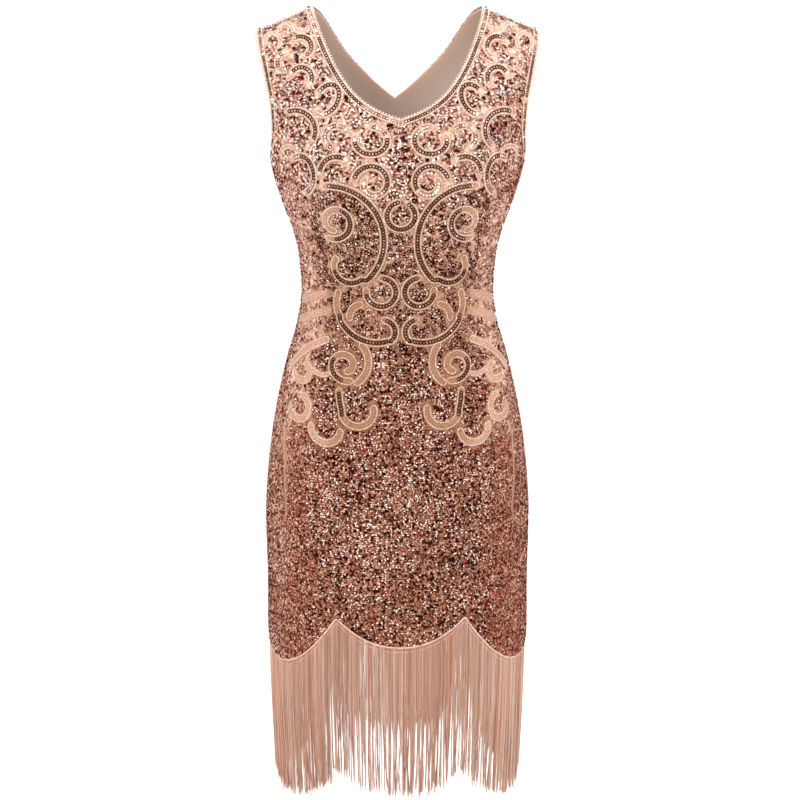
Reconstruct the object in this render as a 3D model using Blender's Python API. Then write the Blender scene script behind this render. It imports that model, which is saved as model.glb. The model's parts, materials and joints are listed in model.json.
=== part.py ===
"""Sleeveless sequinned dress with a V neck, a scalloped hem and a long fringe.

Metres, +Z up. The front faces -Y, and -X is the side called left here. The origin lies
midway between the shoulder seams. The cloth is a hollow wall on rings from a short table,
and each sewn piece is one closed solid, 0.3 mm away from its neighbours.
"""

from collections import namedtuple
from math import ceil, cos, exp, pi, radians, sin, sqrt

import bmesh
import bpy
from mathutils import Vector
from mathutils.bvhtree import BVHTree

FRONT = -1
BACK = 1
LEFT = -1
RIGHT = 1

# Driving dimensions
WALL = 0.0015
SEAM_GAP = 0.0003
SECTION_POWER = 2.15
NECK_HALF_WIDTH = 0.0995
SHOULDER_TOP = 0.0115
SHOULDER_SLOPE = 0.42
SLOPE_STARTS = -0.030
UNDERARM = -0.160
NECK_COLUMNS = 8
HALF_COLUMNS = 15
NECK_CROWDING = 1.5

# The rings: height once the shoulders' slope is taken out, half width, and the depth of
# the front and the back from the plane of the side seams
Ring = namedtuple("Ring", "level half_width front back")
RINGS = (
    Ring(0.0115, 0.2150, 0.0000, 0.0000),
    Ring(0.0100, 0.2140, 0.0180, 0.0180),
    Ring(0.0050, 0.2130, 0.0340, 0.0330),
    Ring(-0.0050, 0.2100, 0.0490, 0.0470),
    Ring(-0.0200, 0.2050, 0.0630, 0.0600),
    Ring(-0.0400, 0.1980, 0.0760, 0.0720),
    Ring(-0.0650, 0.1870, 0.0870, 0.0830),
    Ring(-0.0920, 0.1750, 0.0970, 0.0910),
    Ring(-0.1150, 0.1660, 0.1050, 0.0960),
    Ring(-0.1350, 0.1570, 0.1120, 0.0995),
    Ring(-0.1600, 0.1492, 0.1180, 0.1015),
    Ring(-0.1900, 0.1420, 0.1205, 0.1015),
    Ring(-0.2200, 0.1325, 0.1165, 0.0975),
    Ring(-0.2500, 0.1215, 0.1075, 0.0915),
    Ring(-0.2800, 0.1152, 0.0985, 0.0865),
    Ring(-0.3200, 0.1125, 0.0925, 0.0840),
    Ring(-0.3600, 0.1180, 0.0935, 0.0905),
    Ring(-0.4000, 0.1295, 0.0985, 0.1030),
    Ring(-0.4500, 0.1415, 0.1050, 0.1155),
    Ring(-0.5000, 0.1502, 0.1095, 0.1205),
    Ring(-0.5500, 0.1558, 0.1125, 0.1215),
    Ring(-0.6000, 0.1585, 0.1150, 0.1205),
    Ring(-0.6800, 0.1572, 0.1170, 0.1190),
    Ring(-0.7400, 0.1578, 0.1180, 0.1185),
    Ring(-0.9600, 0.1495, 0.1145, 0.1150),
)

# The bust's fullness over the front rings
BUST_HEIGHT = 0.008
BUST_X = 0.068
BUST_Z = -0.185
BUST_WIDTH = 0.042
BUST_LENGTH = 0.048

# Edges, from the middle of the neck to the shoulder seam and from underarm to shoulder,
# by the share of their length
Edge = namedtuple("Edge", "share x z")
FRONT_NECK = (
    Edge(0.000, 0.0000, -0.1115),
    Edge(0.070, 0.0150, -0.1065),
    Edge(0.160, 0.0320, -0.0985),
    Edge(0.280, 0.0520, -0.0832),
    Edge(0.450, 0.0712, -0.0568),
    Edge(0.640, 0.0868, -0.0243),
    Edge(0.745, 0.0935, -0.0070),
    Edge(0.845, 0.0973, 0.0040),
    Edge(1.000, 0.0995, 0.0115),
)
BACK_NECK = (
    Edge(0.000, 0.0000, -0.1004),
    Edge(0.100, 0.0146, -0.0889),
    Edge(0.290, 0.0397, -0.0652),
    Edge(0.490, 0.0620, -0.0400),
    Edge(0.680, 0.0790, -0.0127),
    Edge(0.830, 0.0905, 0.0045),
    Edge(1.000, 0.0995, 0.0115),
)
ARMHOLE = (
    Edge(0.000, 0.1492, -0.1600),
    Edge(0.150, 0.1484, -0.1480),
    Edge(0.300, 0.1467, -0.1280),
    Edge(0.500, 0.1487, -0.0980),
    Edge(0.700, 0.1550, -0.0660),
    Edge(0.850, 0.1612, -0.0380),
    Edge(1.000, 0.1650, -0.0160),
)

# The rows of the cloth's grid: shares of the way from the underarm to the top edge,
# heights down the body, and shares of the last stretch down to the hem
UPPER_ROWS = (0.0, 0.12, 0.26, 0.41, 0.56, 0.70, 0.82, 0.91, 0.97, 1.0)
BODY_ROWS = (-0.190, -0.220, -0.250, -0.285, -0.320, -0.360, -0.400, -0.450, -0.510, -0.580, -0.650)
HEM_SHARES = (0.5, 1.0)

# Scallops of one half of the hem, by the share of the way from the middle to the side seam
Scallop = namedtuple("Scallop", "start end start_height end_height drop")
HEM_SCALLOPS = (
    Scallop(-1 / 3, 1 / 3, -0.7018, -0.7018, 0.0337),
    Scallop(1 / 3, 1.0, -0.7018, -0.7420, 0.0440),
)
FRINGE_SCALLOPS = (
    Scallop(-1 / 3, 1 / 3, -0.8930, -0.8930, 0.0255),
    Scallop(1 / 3, 1.0, -0.8930, -0.9120, 0.0320),
)

# Fringe
STRANDS = 78
STRAND_SHARE = 0.62
TAPE_HEIGHT = 0.006
TIP_SHARE = 0.6
STRAND_SWAY = 0.12
STRAND_RAGGED = 0.003

# Trims
EDGING_WIDTH = 0.008
EDGING_THICKNESS = 0.0012
PIPING_WIDTH = 0.005
PIPING_THICKNESS = 0.0022
TRIM_LIFT = 0.0009
EDGING_END_SHARE = 0.999
PIPING_END_SHARE = 0.998
NECK_STATIONS = 16
ARMHOLE_STATIONS = 18
LINING_GAP = 0.0008
LINING_WALL = 0.0010
LINING_COLUMNS = (0, 2, 4, 6, 8, 10, 13, 15)
LINING_HEM = -0.690

# Beaded scrolls of the front's left half, which the right half mirrors. Each row is an arc or
# a spiral by its centre, its first and last radius in millimetres, how much taller it is than
# wide, its tilt, its first angle and its turn in degrees. Rows of one name follow each other.
Scroll = namedtuple("Scroll", "name x z radius end_radius stretch tilt start turn")
SCROLLS = (
    Scroll("shoulder_hook", -112, -32, 12, 12, 0.90, 0, 142, -212),
    Scroll("shoulder_loop", -128, -50, 11, 11, 1.05, 0, 215, -140),
    Scroll("shoulder_curl", -111, -67, 13, 11, 1.00, 0, 170, -215),
    Scroll("neck_teardrop", -83, -90, 12, 12, 1.50, -32, -112, 290),
    Scroll("armhole_ring", -118, -125, 22, 22, 1.00, 0, 118, -175),
    Scroll("front_crescent", -72, -132, 14, 13, 0.95, 0, 30, 220),
    Scroll("front_oval", -34, -135, 19, 18, 0.80, 0, 100, -310),
    Scroll("bust_crescent", -72, -172, 19, 19, 1.00, 0, 190, -140),
    Scroll("bust_spiral", -32, -182, 22, 9, 1.00, 0, 178, -400),
    Scroll("side_teardrop", -113, -176, 15, 15, 1.45, 0, 125, -195),
    Scroll("big_scroll", -79, -250, 60, 60, 1.07, 0, 100, -147),
    Scroll("big_scroll", -58, -281, 20, 17, 1.05, 0, -44, -175),
    Scroll("inner_spiral", -74, -228, 20, 9, 1.07, 0, -120, 400),
    Scroll("waist_flower", 0, -219, 16, 16, 1.00, 0, 90, 325),
    Scroll("waist_loop", -22, -311, 17, 17, 1.00, 0, 100, -300),
    Scroll("waist_scroll", -39, -326, 34, 34, 1.00, 0, 152, 58),
    Scroll("waist_scroll", -31, -323, 44, 49, 1.00, 0, -152, 88),
    Scroll("waist_scroll", -20, -357, 15, 13, 1.00, 0, -62, 160),
    Scroll("upper_leaf", -73, -376, 60, 60, 1.00, 0, 98, 24),
    Scroll("lower_leaf", -61, -418, 84, 84, 1.00, 0, 102, 24),
    Scroll("long_leaf", -53, -448, 84, 84, 1.00, 0, 110, 34),
    Scroll("hip_spiral", -64, -398, 19, 6, 1.00, 0, -60, -400),
    Scroll("hip_drop", 4, -429, 75, 75, 1.00, 0, 176, 20),
    Scroll("hip_drop", -50, -449, 19, 19, 1.00, 0, 190, 190),
    Scroll("hip_ring", -115, -410, 10, 10, 1.10, 0, 60, -200),
    Scroll("hip_loop", -118, -451, 11, 11, 1.35, 0, 75, -240),
    Scroll("low_loop", -87, -473, 17, 17, 1.00, 0, 160, 205),
)
MIDDLE_SCROLL = "waist_flower"
MILLIMETRE = 0.001
SCROLL_WIDTH = 0.0070
SCROLL_THICKNESS = 0.0012
SCROLL_SAG = 0.0008
SCROLL_STEP = 0.0120

FLAT_SECTION = ((-0.5, 0.0), (0.5, 0.0), (0.42, 1.0), (-0.42, 1.0))
ROUND_SECTION = ((-0.5, 0.0), (0.5, 0.0), (0.42, 0.7), (0.0, 1.0), (-0.42, 0.7))


class Curve:
    """A smooth curve through a table's rows, which never overshoots between them."""

    def __init__(self, rows, key, value):
        pairs = sorted((getattr(row, key), getattr(row, value)) for row in rows)
        self.keys = [pair[0] for pair in pairs]
        self.values = [pair[1] for pair in pairs]
        rises = []
        for i in range(len(pairs) - 1):
            rises.append((self.values[i + 1] - self.values[i]) / (self.keys[i + 1] - self.keys[i]))
        self.slopes = [rises[0]]
        for before, after in zip(rises, rises[1:]):
            same_way = before * after > 0.0
            self.slopes.append(2.0 * before * after / (before + after) if same_way else 0.0)
        self.slopes.append(rises[-1])

    def __call__(self, key):
        key = min(max(key, self.keys[0]), self.keys[-1])
        i = 0
        while i < len(self.keys) - 2 and key > self.keys[i + 1]:
            i += 1
        span = self.keys[i + 1] - self.keys[i]
        t = (key - self.keys[i]) / span
        start = (1.0 + 2.0 * t) * (1.0 - t) ** 2 * self.values[i]
        end = t * t * (3.0 - 2.0 * t) * self.values[i + 1]
        leave = t * (1.0 - t) ** 2 * span * self.slopes[i]
        arrive = t * t * (t - 1.0) * span * self.slopes[i + 1]
        return start + end + leave + arrive


HALF_WIDTH = Curve(RINGS, "level", "half_width")
DEPTH = {FRONT: Curve(RINGS, "level", "front"), BACK: Curve(RINGS, "level", "back")}
NECK_X = {FRONT: Curve(FRONT_NECK, "share", "x"), BACK: Curve(BACK_NECK, "share", "x")}
NECK_Z = {FRONT: Curve(FRONT_NECK, "share", "z"), BACK: Curve(BACK_NECK, "share", "z")}
ARMHOLE_X = Curve(ARMHOLE, "share", "x")
ARMHOLE_Z = Curve(ARMHOLE, "share", "z")


def blend(start, end, share):
    return start + (end - start) * share


def sign(value):
    return -1.0 if value < 0.0 else 1.0


# ---------------------------------------------------------------- the dress's surface

def shoulder_level(x, z):
    """Height of a point once the slope of the shoulders is taken out."""
    share = min(max((z - UNDERARM) / (SLOPE_STARTS - UNDERARM), 0.0), 1.0)
    fade = share * share * (3.0 - 2.0 * share)
    return z + SHOULDER_SLOPE * max(0.0, abs(x) - NECK_HALF_WIDTH) * fade


def seam_height(x):
    """Height of the shoulder seam."""
    return SHOULDER_TOP - SHOULDER_SLOPE * max(0.0, abs(x) - NECK_HALF_WIDTH)


def ring_depth(side, x, z):
    """Depth of the ring at x = 0, with the bust's fullness for this x."""
    depth = DEPTH[side](shoulder_level(x, z))
    if side == FRONT:
        across = (abs(x) - BUST_X) / BUST_WIDTH
        along = (z - BUST_Z) / BUST_LENGTH
        depth += BUST_HEIGHT * exp(-across * across - along * along)
    return depth


def outer_point(side, x, z):
    """Point of the outer face at x and z."""
    share = min(1.0, abs(x) / HALF_WIDTH(shoulder_level(x, z)))
    depth = ring_depth(side, x, z) * (1.0 - share ** SECTION_POWER) ** (1.0 / SECTION_POWER)
    return Vector((x, side * (0.5 * SEAM_GAP + depth), z))


def ring_share(side, x, y, z):
    """1 on the outer face, less inside it and more outside it."""
    depth = max(0.0, abs(y) - 0.5 * SEAM_GAP)
    across = (abs(x) / HALF_WIDTH(shoulder_level(x, z))) ** SECTION_POWER
    return across + (depth / max(ring_depth(side, x, z), 1e-4)) ** SECTION_POWER


def share_slope(side, x, y, z):
    """Direction in which the ring share grows fastest, which is straight out of the cloth."""
    step = 0.0002
    return Vector((
        ring_share(side, x + step, y, z) - ring_share(side, x - step, y, z),
        ring_share(side, x, y + step, z) - ring_share(side, x, y - step, z),
        ring_share(side, x, y, z + step) - ring_share(side, x, y, z - step),
    )).normalized()


def outer_normal(side, x, z):
    """Direction out of the cloth at x and z, read just below the shoulder seam at most."""
    below_seam = 0.0010
    z = min(z, seam_height(x) - below_seam)
    return share_slope(side, x, outer_point(side, x, z).y, z)


def column_share(u):
    """Share of the ring's half width at a column; columns are even along the hem."""
    angle = radians(90.0) * abs(u) * (0.9 + 0.1 * u * u)
    return sign(u) * sin(angle) ** (2.0 / SECTION_POWER)


def body_place(u, z):
    """x and z of a column below the underarm."""
    return HALF_WIDTH(z) * column_share(u), z


def top_place(side, u):
    """x and z of a column's end on the neck edge or the shoulder seam."""
    neck_end = NECK_COLUMNS / HALF_COLUMNS
    if abs(u) <= neck_end:
        share = 1.0 - (1.0 - abs(u) / neck_end) ** NECK_CROWDING
        return sign(u) * NECK_X[side](share), NECK_Z[side](share)
    x = blend(NECK_HALF_WIDTH, ARMHOLE_X(1.0), (abs(u) - neck_end) / (1.0 - neck_end))
    return sign(u) * x, seam_height(x)


def upper_place(side, u, share):
    """x and z above the underarm, between the armhole edges."""
    bottom_x, bottom_z = body_place(u, UNDERARM)
    top_x, top_z = top_place(side, u)
    straight_x = blend(ARMHOLE_X(0.0), ARMHOLE_X(1.0), share)
    straight_z = blend(ARMHOLE_Z(0.0), ARMHOLE_Z(1.0), share)
    pull = abs(u) ** 3
    x = blend(bottom_x, top_x, share) + sign(u) * pull * (ARMHOLE_X(share) - straight_x)
    z = blend(bottom_z, top_z, share) + pull * (ARMHOLE_Z(share) - straight_z)
    return x, min(z, seam_height(x))


def scalloped(scallops, u):
    """Height of a scalloped edge at a column."""
    u = abs(u)
    row = scallops[0] if u <= scallops[0].end else scallops[1]
    share = (u - row.start) / (row.end - row.start)
    return blend(row.start_height, row.end_height, share) - row.drop * 4.0 * share * (1.0 - share)


# ---------------------------------------------------------------- making solids

def material(name, colour, roughness, metallic):
    """Principled material of one colour."""
    made = bpy.data.materials.new(name)
    made.use_nodes = True
    shader = made.node_tree.nodes["Principled BSDF"]
    shader.inputs["Base Color"].default_value = (*colour, 1.0)
    shader.inputs["Roughness"].default_value = roughness
    shader.inputs["Metallic"].default_value = metallic
    return made


def make_solid(name, points, faces, finish):
    """One closed object with its faces pointing out."""
    mesh = bpy.data.meshes.new(name)
    mesh.from_pydata([tuple(point) for point in points], [], faces)
    shell = bmesh.new()
    shell.from_mesh(mesh)
    bmesh.ops.recalc_face_normals(shell, faces=shell.faces)
    bmesh.ops.triangulate(shell, faces=shell.faces)
    shell.to_mesh(mesh)
    shell.free()
    mesh.shade_smooth()
    mesh.set_sharp_from_angle(angle=radians(40.0))
    mesh.materials.append(finish)
    made = bpy.data.objects.new(name, mesh)
    bpy.context.scene.collection.objects.link(made)
    return made


def wall_solid(name, outer, inner, finish):
    """Closed wall between two grids of points, each a list of rows."""
    rows = len(outer)
    columns = len(outer[0])
    points = [point for row in outer for point in row] + [point for row in inner for point in row]
    back = rows * columns
    faces = []
    for r in range(rows - 1):
        for c in range(columns - 1):
            a = r * columns + c
            b = a + columns
            faces.append((a, a + 1, b + 1, b))
            faces.append((back + a, back + b, back + b + 1, back + a + 1))
    rim = [c for c in range(columns)]
    rim += [r * columns + columns - 1 for r in range(1, rows)]
    rim += [(rows - 1) * columns + c for c in range(columns - 2, -1, -1)]
    rim += [r * columns for r in range(rows - 2, 0, -1)]
    for a, b in zip(rim, rim[1:] + rim[:1]):
        faces.append((a, b, back + b, back + a))
    return make_solid(name, points, faces, finish)


def strip_solid(name, stations, finish):
    """Closed strip through stations that are rings of the same number of points."""
    count = len(stations[0])
    points = [point for station in stations for point in station]
    faces = [tuple(range(count)), tuple(range(len(points) - count, len(points)))]
    for s in range(len(stations) - 1):
        for k in range(count):
            a = s * count + k
            b = s * count + (k + 1) % count
            faces.append((a, b, b + count, a + count))
    return make_solid(name, points, faces, finish)


def band_on_cloth(name, side, cloth, spots, width, thickness, section, shift, finish):
    """Band whose feet stand on the panel's own faces, along spots given as x and z."""
    places = [outer_point(side, x, z) for x, z in spots]
    stations = []
    for i, (x, z) in enumerate(spots):
        along = places[min(i + 1, len(places) - 1)] - places[max(i - 1, 0)]
        across = outer_normal(side, x, z).cross(along).normalized()
        station = []
        for share, height in section:
            foot = cloth.find_nearest(places[i] + across * (width * share + shift))[0]
            station.append(foot + share_slope(side, *foot) * (TRIM_LIFT + thickness * height))
        stations.append(station)
    return strip_solid(name, stations, finish)


# ---------------------------------------------------------------- cloth pieces

def cloth_places(side, columns, hem=None):
    """Grid of x, z and whether the point lies on a seam, from the top edge to the hem."""
    shares = [-c / HALF_COLUMNS for c in reversed(columns[1:])] + [c / HALF_COLUMNS for c in columns]
    grid = []
    for share in reversed(UPPER_ROWS):
        row = []
        for u in shares:
            x, z = upper_place(side, u, share)
            on_shoulder = share == 1.0 and abs(u) >= NECK_COLUMNS / HALF_COLUMNS
            on_side = share == 0.0 and abs(u) == 1.0
            row.append((x, z, on_shoulder or on_side))
        grid.append(row)
    for z in BODY_ROWS:
        grid.append([(*body_place(u, z), abs(u) == 1.0) for u in shares])
    for share in HEM_SHARES:
        row = []
        for u in shares:
            end = scalloped(HEM_SCALLOPS, u) if hem is None else hem
            z = blend(BODY_ROWS[-1], end, share)
            row.append((*body_place(u, z), abs(u) == 1.0))
        grid.append(row)
    return grid


def cloth_face(side, places, depth_in):
    """Points of a face of the cloth, at a depth inside the outer face."""
    face = []
    for row in places:
        points = []
        for x, z, on_seam in row:
            out = outer_normal(side, x, z)
            if on_seam:
                out = Vector((out.x, 0.0, out.z)).normalized()
            points.append(outer_point(side, x, z) - out * depth_in)
        face.append(points)
    return face


def make_panel(name, side, finish):
    """Sequinned front or back, one wall with its lining; gives its faces to lay trims on."""
    places = cloth_places(side, range(HALF_COLUMNS + 1))
    panel = wall_solid(name, cloth_face(side, places, 0.0), cloth_face(side, places, WALL), finish)
    outer_count = len(panel.data.vertices) // 2
    corners = [vertex.co for vertex in panel.data.vertices[:outer_count]]
    faces = [face.vertices for face in panel.data.polygons if max(face.vertices) < outer_count]
    return BVHTree.FromPolygons(corners, faces)


def make_back_lining(finish):
    """Plain cloth inside the back, which shows through the neck."""
    places = cloth_places(BACK, LINING_COLUMNS, hem=LINING_HEM)
    depth = WALL + LINING_GAP
    outer = cloth_face(BACK, places, depth)
    inner = cloth_face(BACK, places, depth + LINING_WALL)
    return wall_solid("back_lining", outer, inner, finish)


# ---------------------------------------------------------------- edgings and piping

def make_neck_edging(name, side, cloth, finish):
    """Band along the neck edge, with its stations closer together at the shoulder seams."""
    spots = []
    for k in range(-NECK_STATIONS, NECK_STATIONS + 1):
        share = abs(sin(radians(90.0) * k / NECK_STATIONS)) * EDGING_END_SHARE
        spots.append((sign(k) * NECK_X[side](share), NECK_Z[side](share)))
    inwards = side * 0.5 * EDGING_WIDTH
    band_on_cloth(name, side, cloth, spots, EDGING_WIDTH, EDGING_THICKNESS, FLAT_SECTION, inwards, finish)


def make_armhole_edging(name, side, cloth, hand, finish):
    """Band along one side's armhole edge, from the underarm to the shoulder seam."""
    spots = []
    for k in range(ARMHOLE_STATIONS + 1):
        share = 0.5 - 0.5 * cos(pi * k / ARMHOLE_STATIONS)
        share = blend(1.0 - EDGING_END_SHARE, EDGING_END_SHARE, share)
        spots.append((hand * ARMHOLE_X(share), ARMHOLE_Z(share)))
    inwards = -side * hand * 0.5 * EDGING_WIDTH
    band_on_cloth(name, side, cloth, spots, EDGING_WIDTH, EDGING_THICKNESS, FLAT_SECTION, inwards, finish)


def make_hem_piping(name, side, cloth, finish):
    """Cord along the scalloped hem."""
    spots = []
    for c in range(-HALF_COLUMNS, HALF_COLUMNS + 1):
        u = PIPING_END_SHARE * c / HALF_COLUMNS
        spots.append(body_place(u, scalloped(HEM_SCALLOPS, u) + 0.5 * PIPING_WIDTH))
    band_on_cloth(name, side, cloth, spots, PIPING_WIDTH, PIPING_THICKNESS, ROUND_SECTION, 0.0, finish)


# ---------------------------------------------------------------- beaded scrolls

def scroll_spots(row):
    """x and z along one arc or spiral, at steps that keep the chords close to it."""
    radius = 0.5 * (row.radius + row.end_radius) * MILLIMETRE
    length = radius * radians(abs(row.turn))
    steps = ceil(length / min(sqrt(8.0 * SCROLL_SAG * radius), SCROLL_STEP))
    tilt = radians(row.tilt)
    spots = []
    for k in range(steps + 1):
        angle = radians(blend(row.start, row.start + row.turn, k / steps))
        reach = blend(row.radius, row.end_radius, k / steps)
        across = reach * cos(angle)
        along = reach * row.stretch * sin(angle)
        x = row.x + across * cos(tilt) - along * sin(tilt)
        z = row.z + across * sin(tilt) + along * cos(tilt)
        spots.append((x * MILLIMETRE, z * MILLIMETRE))
    return spots


def scroll_path(name):
    """x and z along all rows of one scroll of the left half."""
    spots = []
    for row in SCROLLS:
        if row.name == name:
            spots += scroll_spots(row)[1 if spots else 0:]
    return spots


def make_scrolls(cloth, finish):
    """Raised beaded bands of the front, the ones off the middle on both halves."""
    for name in dict.fromkeys(row.name for row in SCROLLS):
        path = scroll_path(name)
        in_middle = name == MIDDLE_SCROLL
        for hand, where in ((LEFT, "left"), (RIGHT, "right")):
            if in_middle and hand == RIGHT:
                continue
            node = name if in_middle else f"{name}_{where}"
            spots = [(-hand * x, z) for x, z in path]
            band_on_cloth(
                node, FRONT, cloth, spots, SCROLL_WIDTH, SCROLL_THICKNESS, FLAT_SECTION, 0.0, finish
            )


# ---------------------------------------------------------------- fringe

def skirt_point(side, u, z, depth_in):
    """Point of the skirt's rings at a column and a height, at a depth inside."""
    x, z = body_place(u, z)
    out = outer_normal(side, x, z)
    if abs(u) == 1.0:
        out = Vector((out.x, 0.0, out.z)).normalized()
    return outer_point(side, x, z) - out * depth_in


def four_corners(side, u_start, u_end, height):
    """Corners of a strand's section, whose height may follow the column."""
    return [
        skirt_point(side, u_start, height(u_start), 0.0),
        skirt_point(side, u_end, height(u_end), 0.0),
        skirt_point(side, u_end, height(u_end), WALL),
        skirt_point(side, u_start, height(u_start), WALL),
    ]


def tape_top(u):
    return scalloped(HEM_SCALLOPS, u) - SEAM_GAP


def tape_bottom(u):
    return tape_top(u) - TAPE_HEIGHT


def make_fringe(name, side, finish):
    """Tape below the hem with the strands drawn out of its lower face."""
    pitch = 2.0 / STRANDS
    edges = [-1.0]
    for k in range(STRANDS):
        middle = -1.0 + (k + 0.5) * pitch
        edges += [middle - 0.5 * STRAND_SHARE * pitch, middle + 0.5 * STRAND_SHARE * pitch]
    edges.append(1.0)
    points = []
    for u in edges:
        points += [skirt_point(side, u, tape_top(u), 0.0), skirt_point(side, u, tape_top(u), WALL)]
        points += [skirt_point(side, u, tape_bottom(u), WALL), skirt_point(side, u, tape_bottom(u), 0.0)]
    last = 4 * (len(edges) - 1)
    faces = [(0, 1, 2, 3), (last, last + 1, last + 2, last + 3)]
    for e in range(len(edges) - 1):
        a = 4 * e
        b = a + 4
        faces += [(a, b, b + 1, a + 1), (a + 1, b + 1, b + 2, a + 2), (a, a + 3, b + 3, b)]
        if e % 2 == 0:
            faces.append((a + 2, b + 2, b + 3, a + 3))
        else:
            ring = [a + 3, b + 3, b + 2, a + 2]
            hang_strand(points, faces, ring, side, 0.5 * (edges[e] + edges[e + 1]), pitch, e // 2)
    return make_solid(name, points, faces, finish)


def hang_strand(points, faces, ring, side, middle, pitch, number):
    """Draws one strand down from its root ring, narrower towards its tip."""
    tip = scalloped(FRINGE_SCALLOPS, middle) + STRAND_RAGGED * sin(2.7 * number)
    root = tape_bottom(middle)
    for share in (0.5, 1.0):
        sway = STRAND_SWAY * pitch * sin(1.7 * number) * share
        reach = 0.5 * STRAND_SHARE * pitch * blend(1.0, TIP_SHARE, share)
        height = blend(root, tip, share)
        next_ring = list(range(len(points), len(points) + 4))
        points += four_corners(side, middle + sway - reach, middle + sway + reach, lambda u: height)
        for k in range(4):
            faces.append((ring[k], ring[(k + 1) % 4], next_ring[(k + 1) % 4], next_ring[k]))
        ring = next_ring
    faces.append(tuple(ring))


def main():
    for old in list(bpy.data.objects):
        bpy.data.objects.remove(old, do_unlink=True)
    sequins = material("sequinned_mesh", (0.60, 0.33, 0.25), 0.35, 0.5)
    lining = material("lining", (0.52, 0.40, 0.33), 0.6, 0.0)
    beads = material("beaded_edging", (0.80, 0.58, 0.46), 0.4, 0.2)
    satin = material("satin_cord", (0.86, 0.62, 0.54), 0.35, 0.0)
    strands = material("fringe_strands", (0.80, 0.46, 0.36), 0.5, 0.0)
    make_back_lining(lining)
    for side, where in ((FRONT, "front"), (BACK, "back")):
        cloth = make_panel(f"{where}_panel", side, sequins)
        make_neck_edging(f"neck_edging_{where}", side, cloth, beads)
        make_armhole_edging(f"armhole_edging_{where}_left", side, cloth, LEFT, beads)
        make_armhole_edging(f"armhole_edging_{where}_right", side, cloth, RIGHT, beads)
        make_hem_piping(f"hem_piping_{where}", side, cloth, satin)
        make_fringe(f"fringe_{where}", side, strands)
        if side == FRONT:
            make_scrolls(cloth, beads)


main()
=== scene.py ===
"""Looks of the sequinned flapper dress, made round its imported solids.

Metres, +Z up. The front faces -Y, and -X is the side called left here. The cloth follows the
same rings as the solids: a place on it is a ring angle (0 in the middle of the front, plus or
minus 90 degrees at the side seams) and a level, its height before the shoulders' slope.
"""

import json
from collections import namedtuple
from functools import partial
from itertools import combinations, product

import bpy
import numpy as np
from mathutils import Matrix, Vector
from mathutils.bvhtree import BVHTree
from mathutils.kdtree import KDTree

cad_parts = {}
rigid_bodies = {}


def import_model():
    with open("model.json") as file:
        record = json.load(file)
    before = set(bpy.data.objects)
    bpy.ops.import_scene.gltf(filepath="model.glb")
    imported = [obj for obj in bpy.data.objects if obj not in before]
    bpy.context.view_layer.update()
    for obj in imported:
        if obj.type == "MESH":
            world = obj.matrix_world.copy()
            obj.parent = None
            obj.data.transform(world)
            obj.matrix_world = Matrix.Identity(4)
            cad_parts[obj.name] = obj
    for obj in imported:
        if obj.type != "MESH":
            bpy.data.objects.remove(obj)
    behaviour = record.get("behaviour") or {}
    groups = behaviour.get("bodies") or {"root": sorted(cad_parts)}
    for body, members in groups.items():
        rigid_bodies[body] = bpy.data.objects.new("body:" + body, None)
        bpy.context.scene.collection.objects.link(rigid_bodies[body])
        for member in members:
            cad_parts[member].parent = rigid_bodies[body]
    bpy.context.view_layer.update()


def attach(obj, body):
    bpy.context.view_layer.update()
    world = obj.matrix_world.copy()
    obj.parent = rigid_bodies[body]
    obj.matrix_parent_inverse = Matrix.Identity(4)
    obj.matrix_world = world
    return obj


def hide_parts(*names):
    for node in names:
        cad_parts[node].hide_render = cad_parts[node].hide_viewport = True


FRONT = -1
BACK = 1
HALVES = {"front": FRONT, "back": BACK}
HANDS = {"left": -1, "right": 1}
HOLES = ("neck", *HANDS)
QUARTER = 0.5 * np.pi
MILLIMETRE = 0.001
SEED = 20


def table(columns, *rows, defaults=()):
    """Rows with named columns."""
    row_type = namedtuple("Row", columns, defaults=defaults)
    return [row_type(*row) for row in rows]


# ---- the garment's sizes

SEAM_GAP = 0.0003
SECTION_POWER = 2.15
NECK_HALF_WIDTH = 0.0995
SHOULDER_TOP = 0.0115
SHOULDER_SLOPE = 0.42
SLOPE_STARTS = -0.030
UNDERARM = -0.160
NECK_END = 8 / 15
NECK_CROWDING = 1.5
ROW_CROWDING = 0.85
CLOTH_WALL = 0.0012
LINING_DEPTH = 0.0023
LINING_WALL = 0.0010
LINING_HEM = -0.690
FACING_WIDTH = 0.0130
CLOTH_COLUMNS = 91
LINING_COLUMNS = 51
UPPER_ROWS = 38
LOWER_ROWS = 86
BUST_HEIGHT = 0.008
BUST_X = 0.068
BUST_Z = -0.185
BUST_WIDTH = 0.042
BUST_LENGTH = 0.048
BODICE_SIDE = (-0.62, -0.42)

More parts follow.
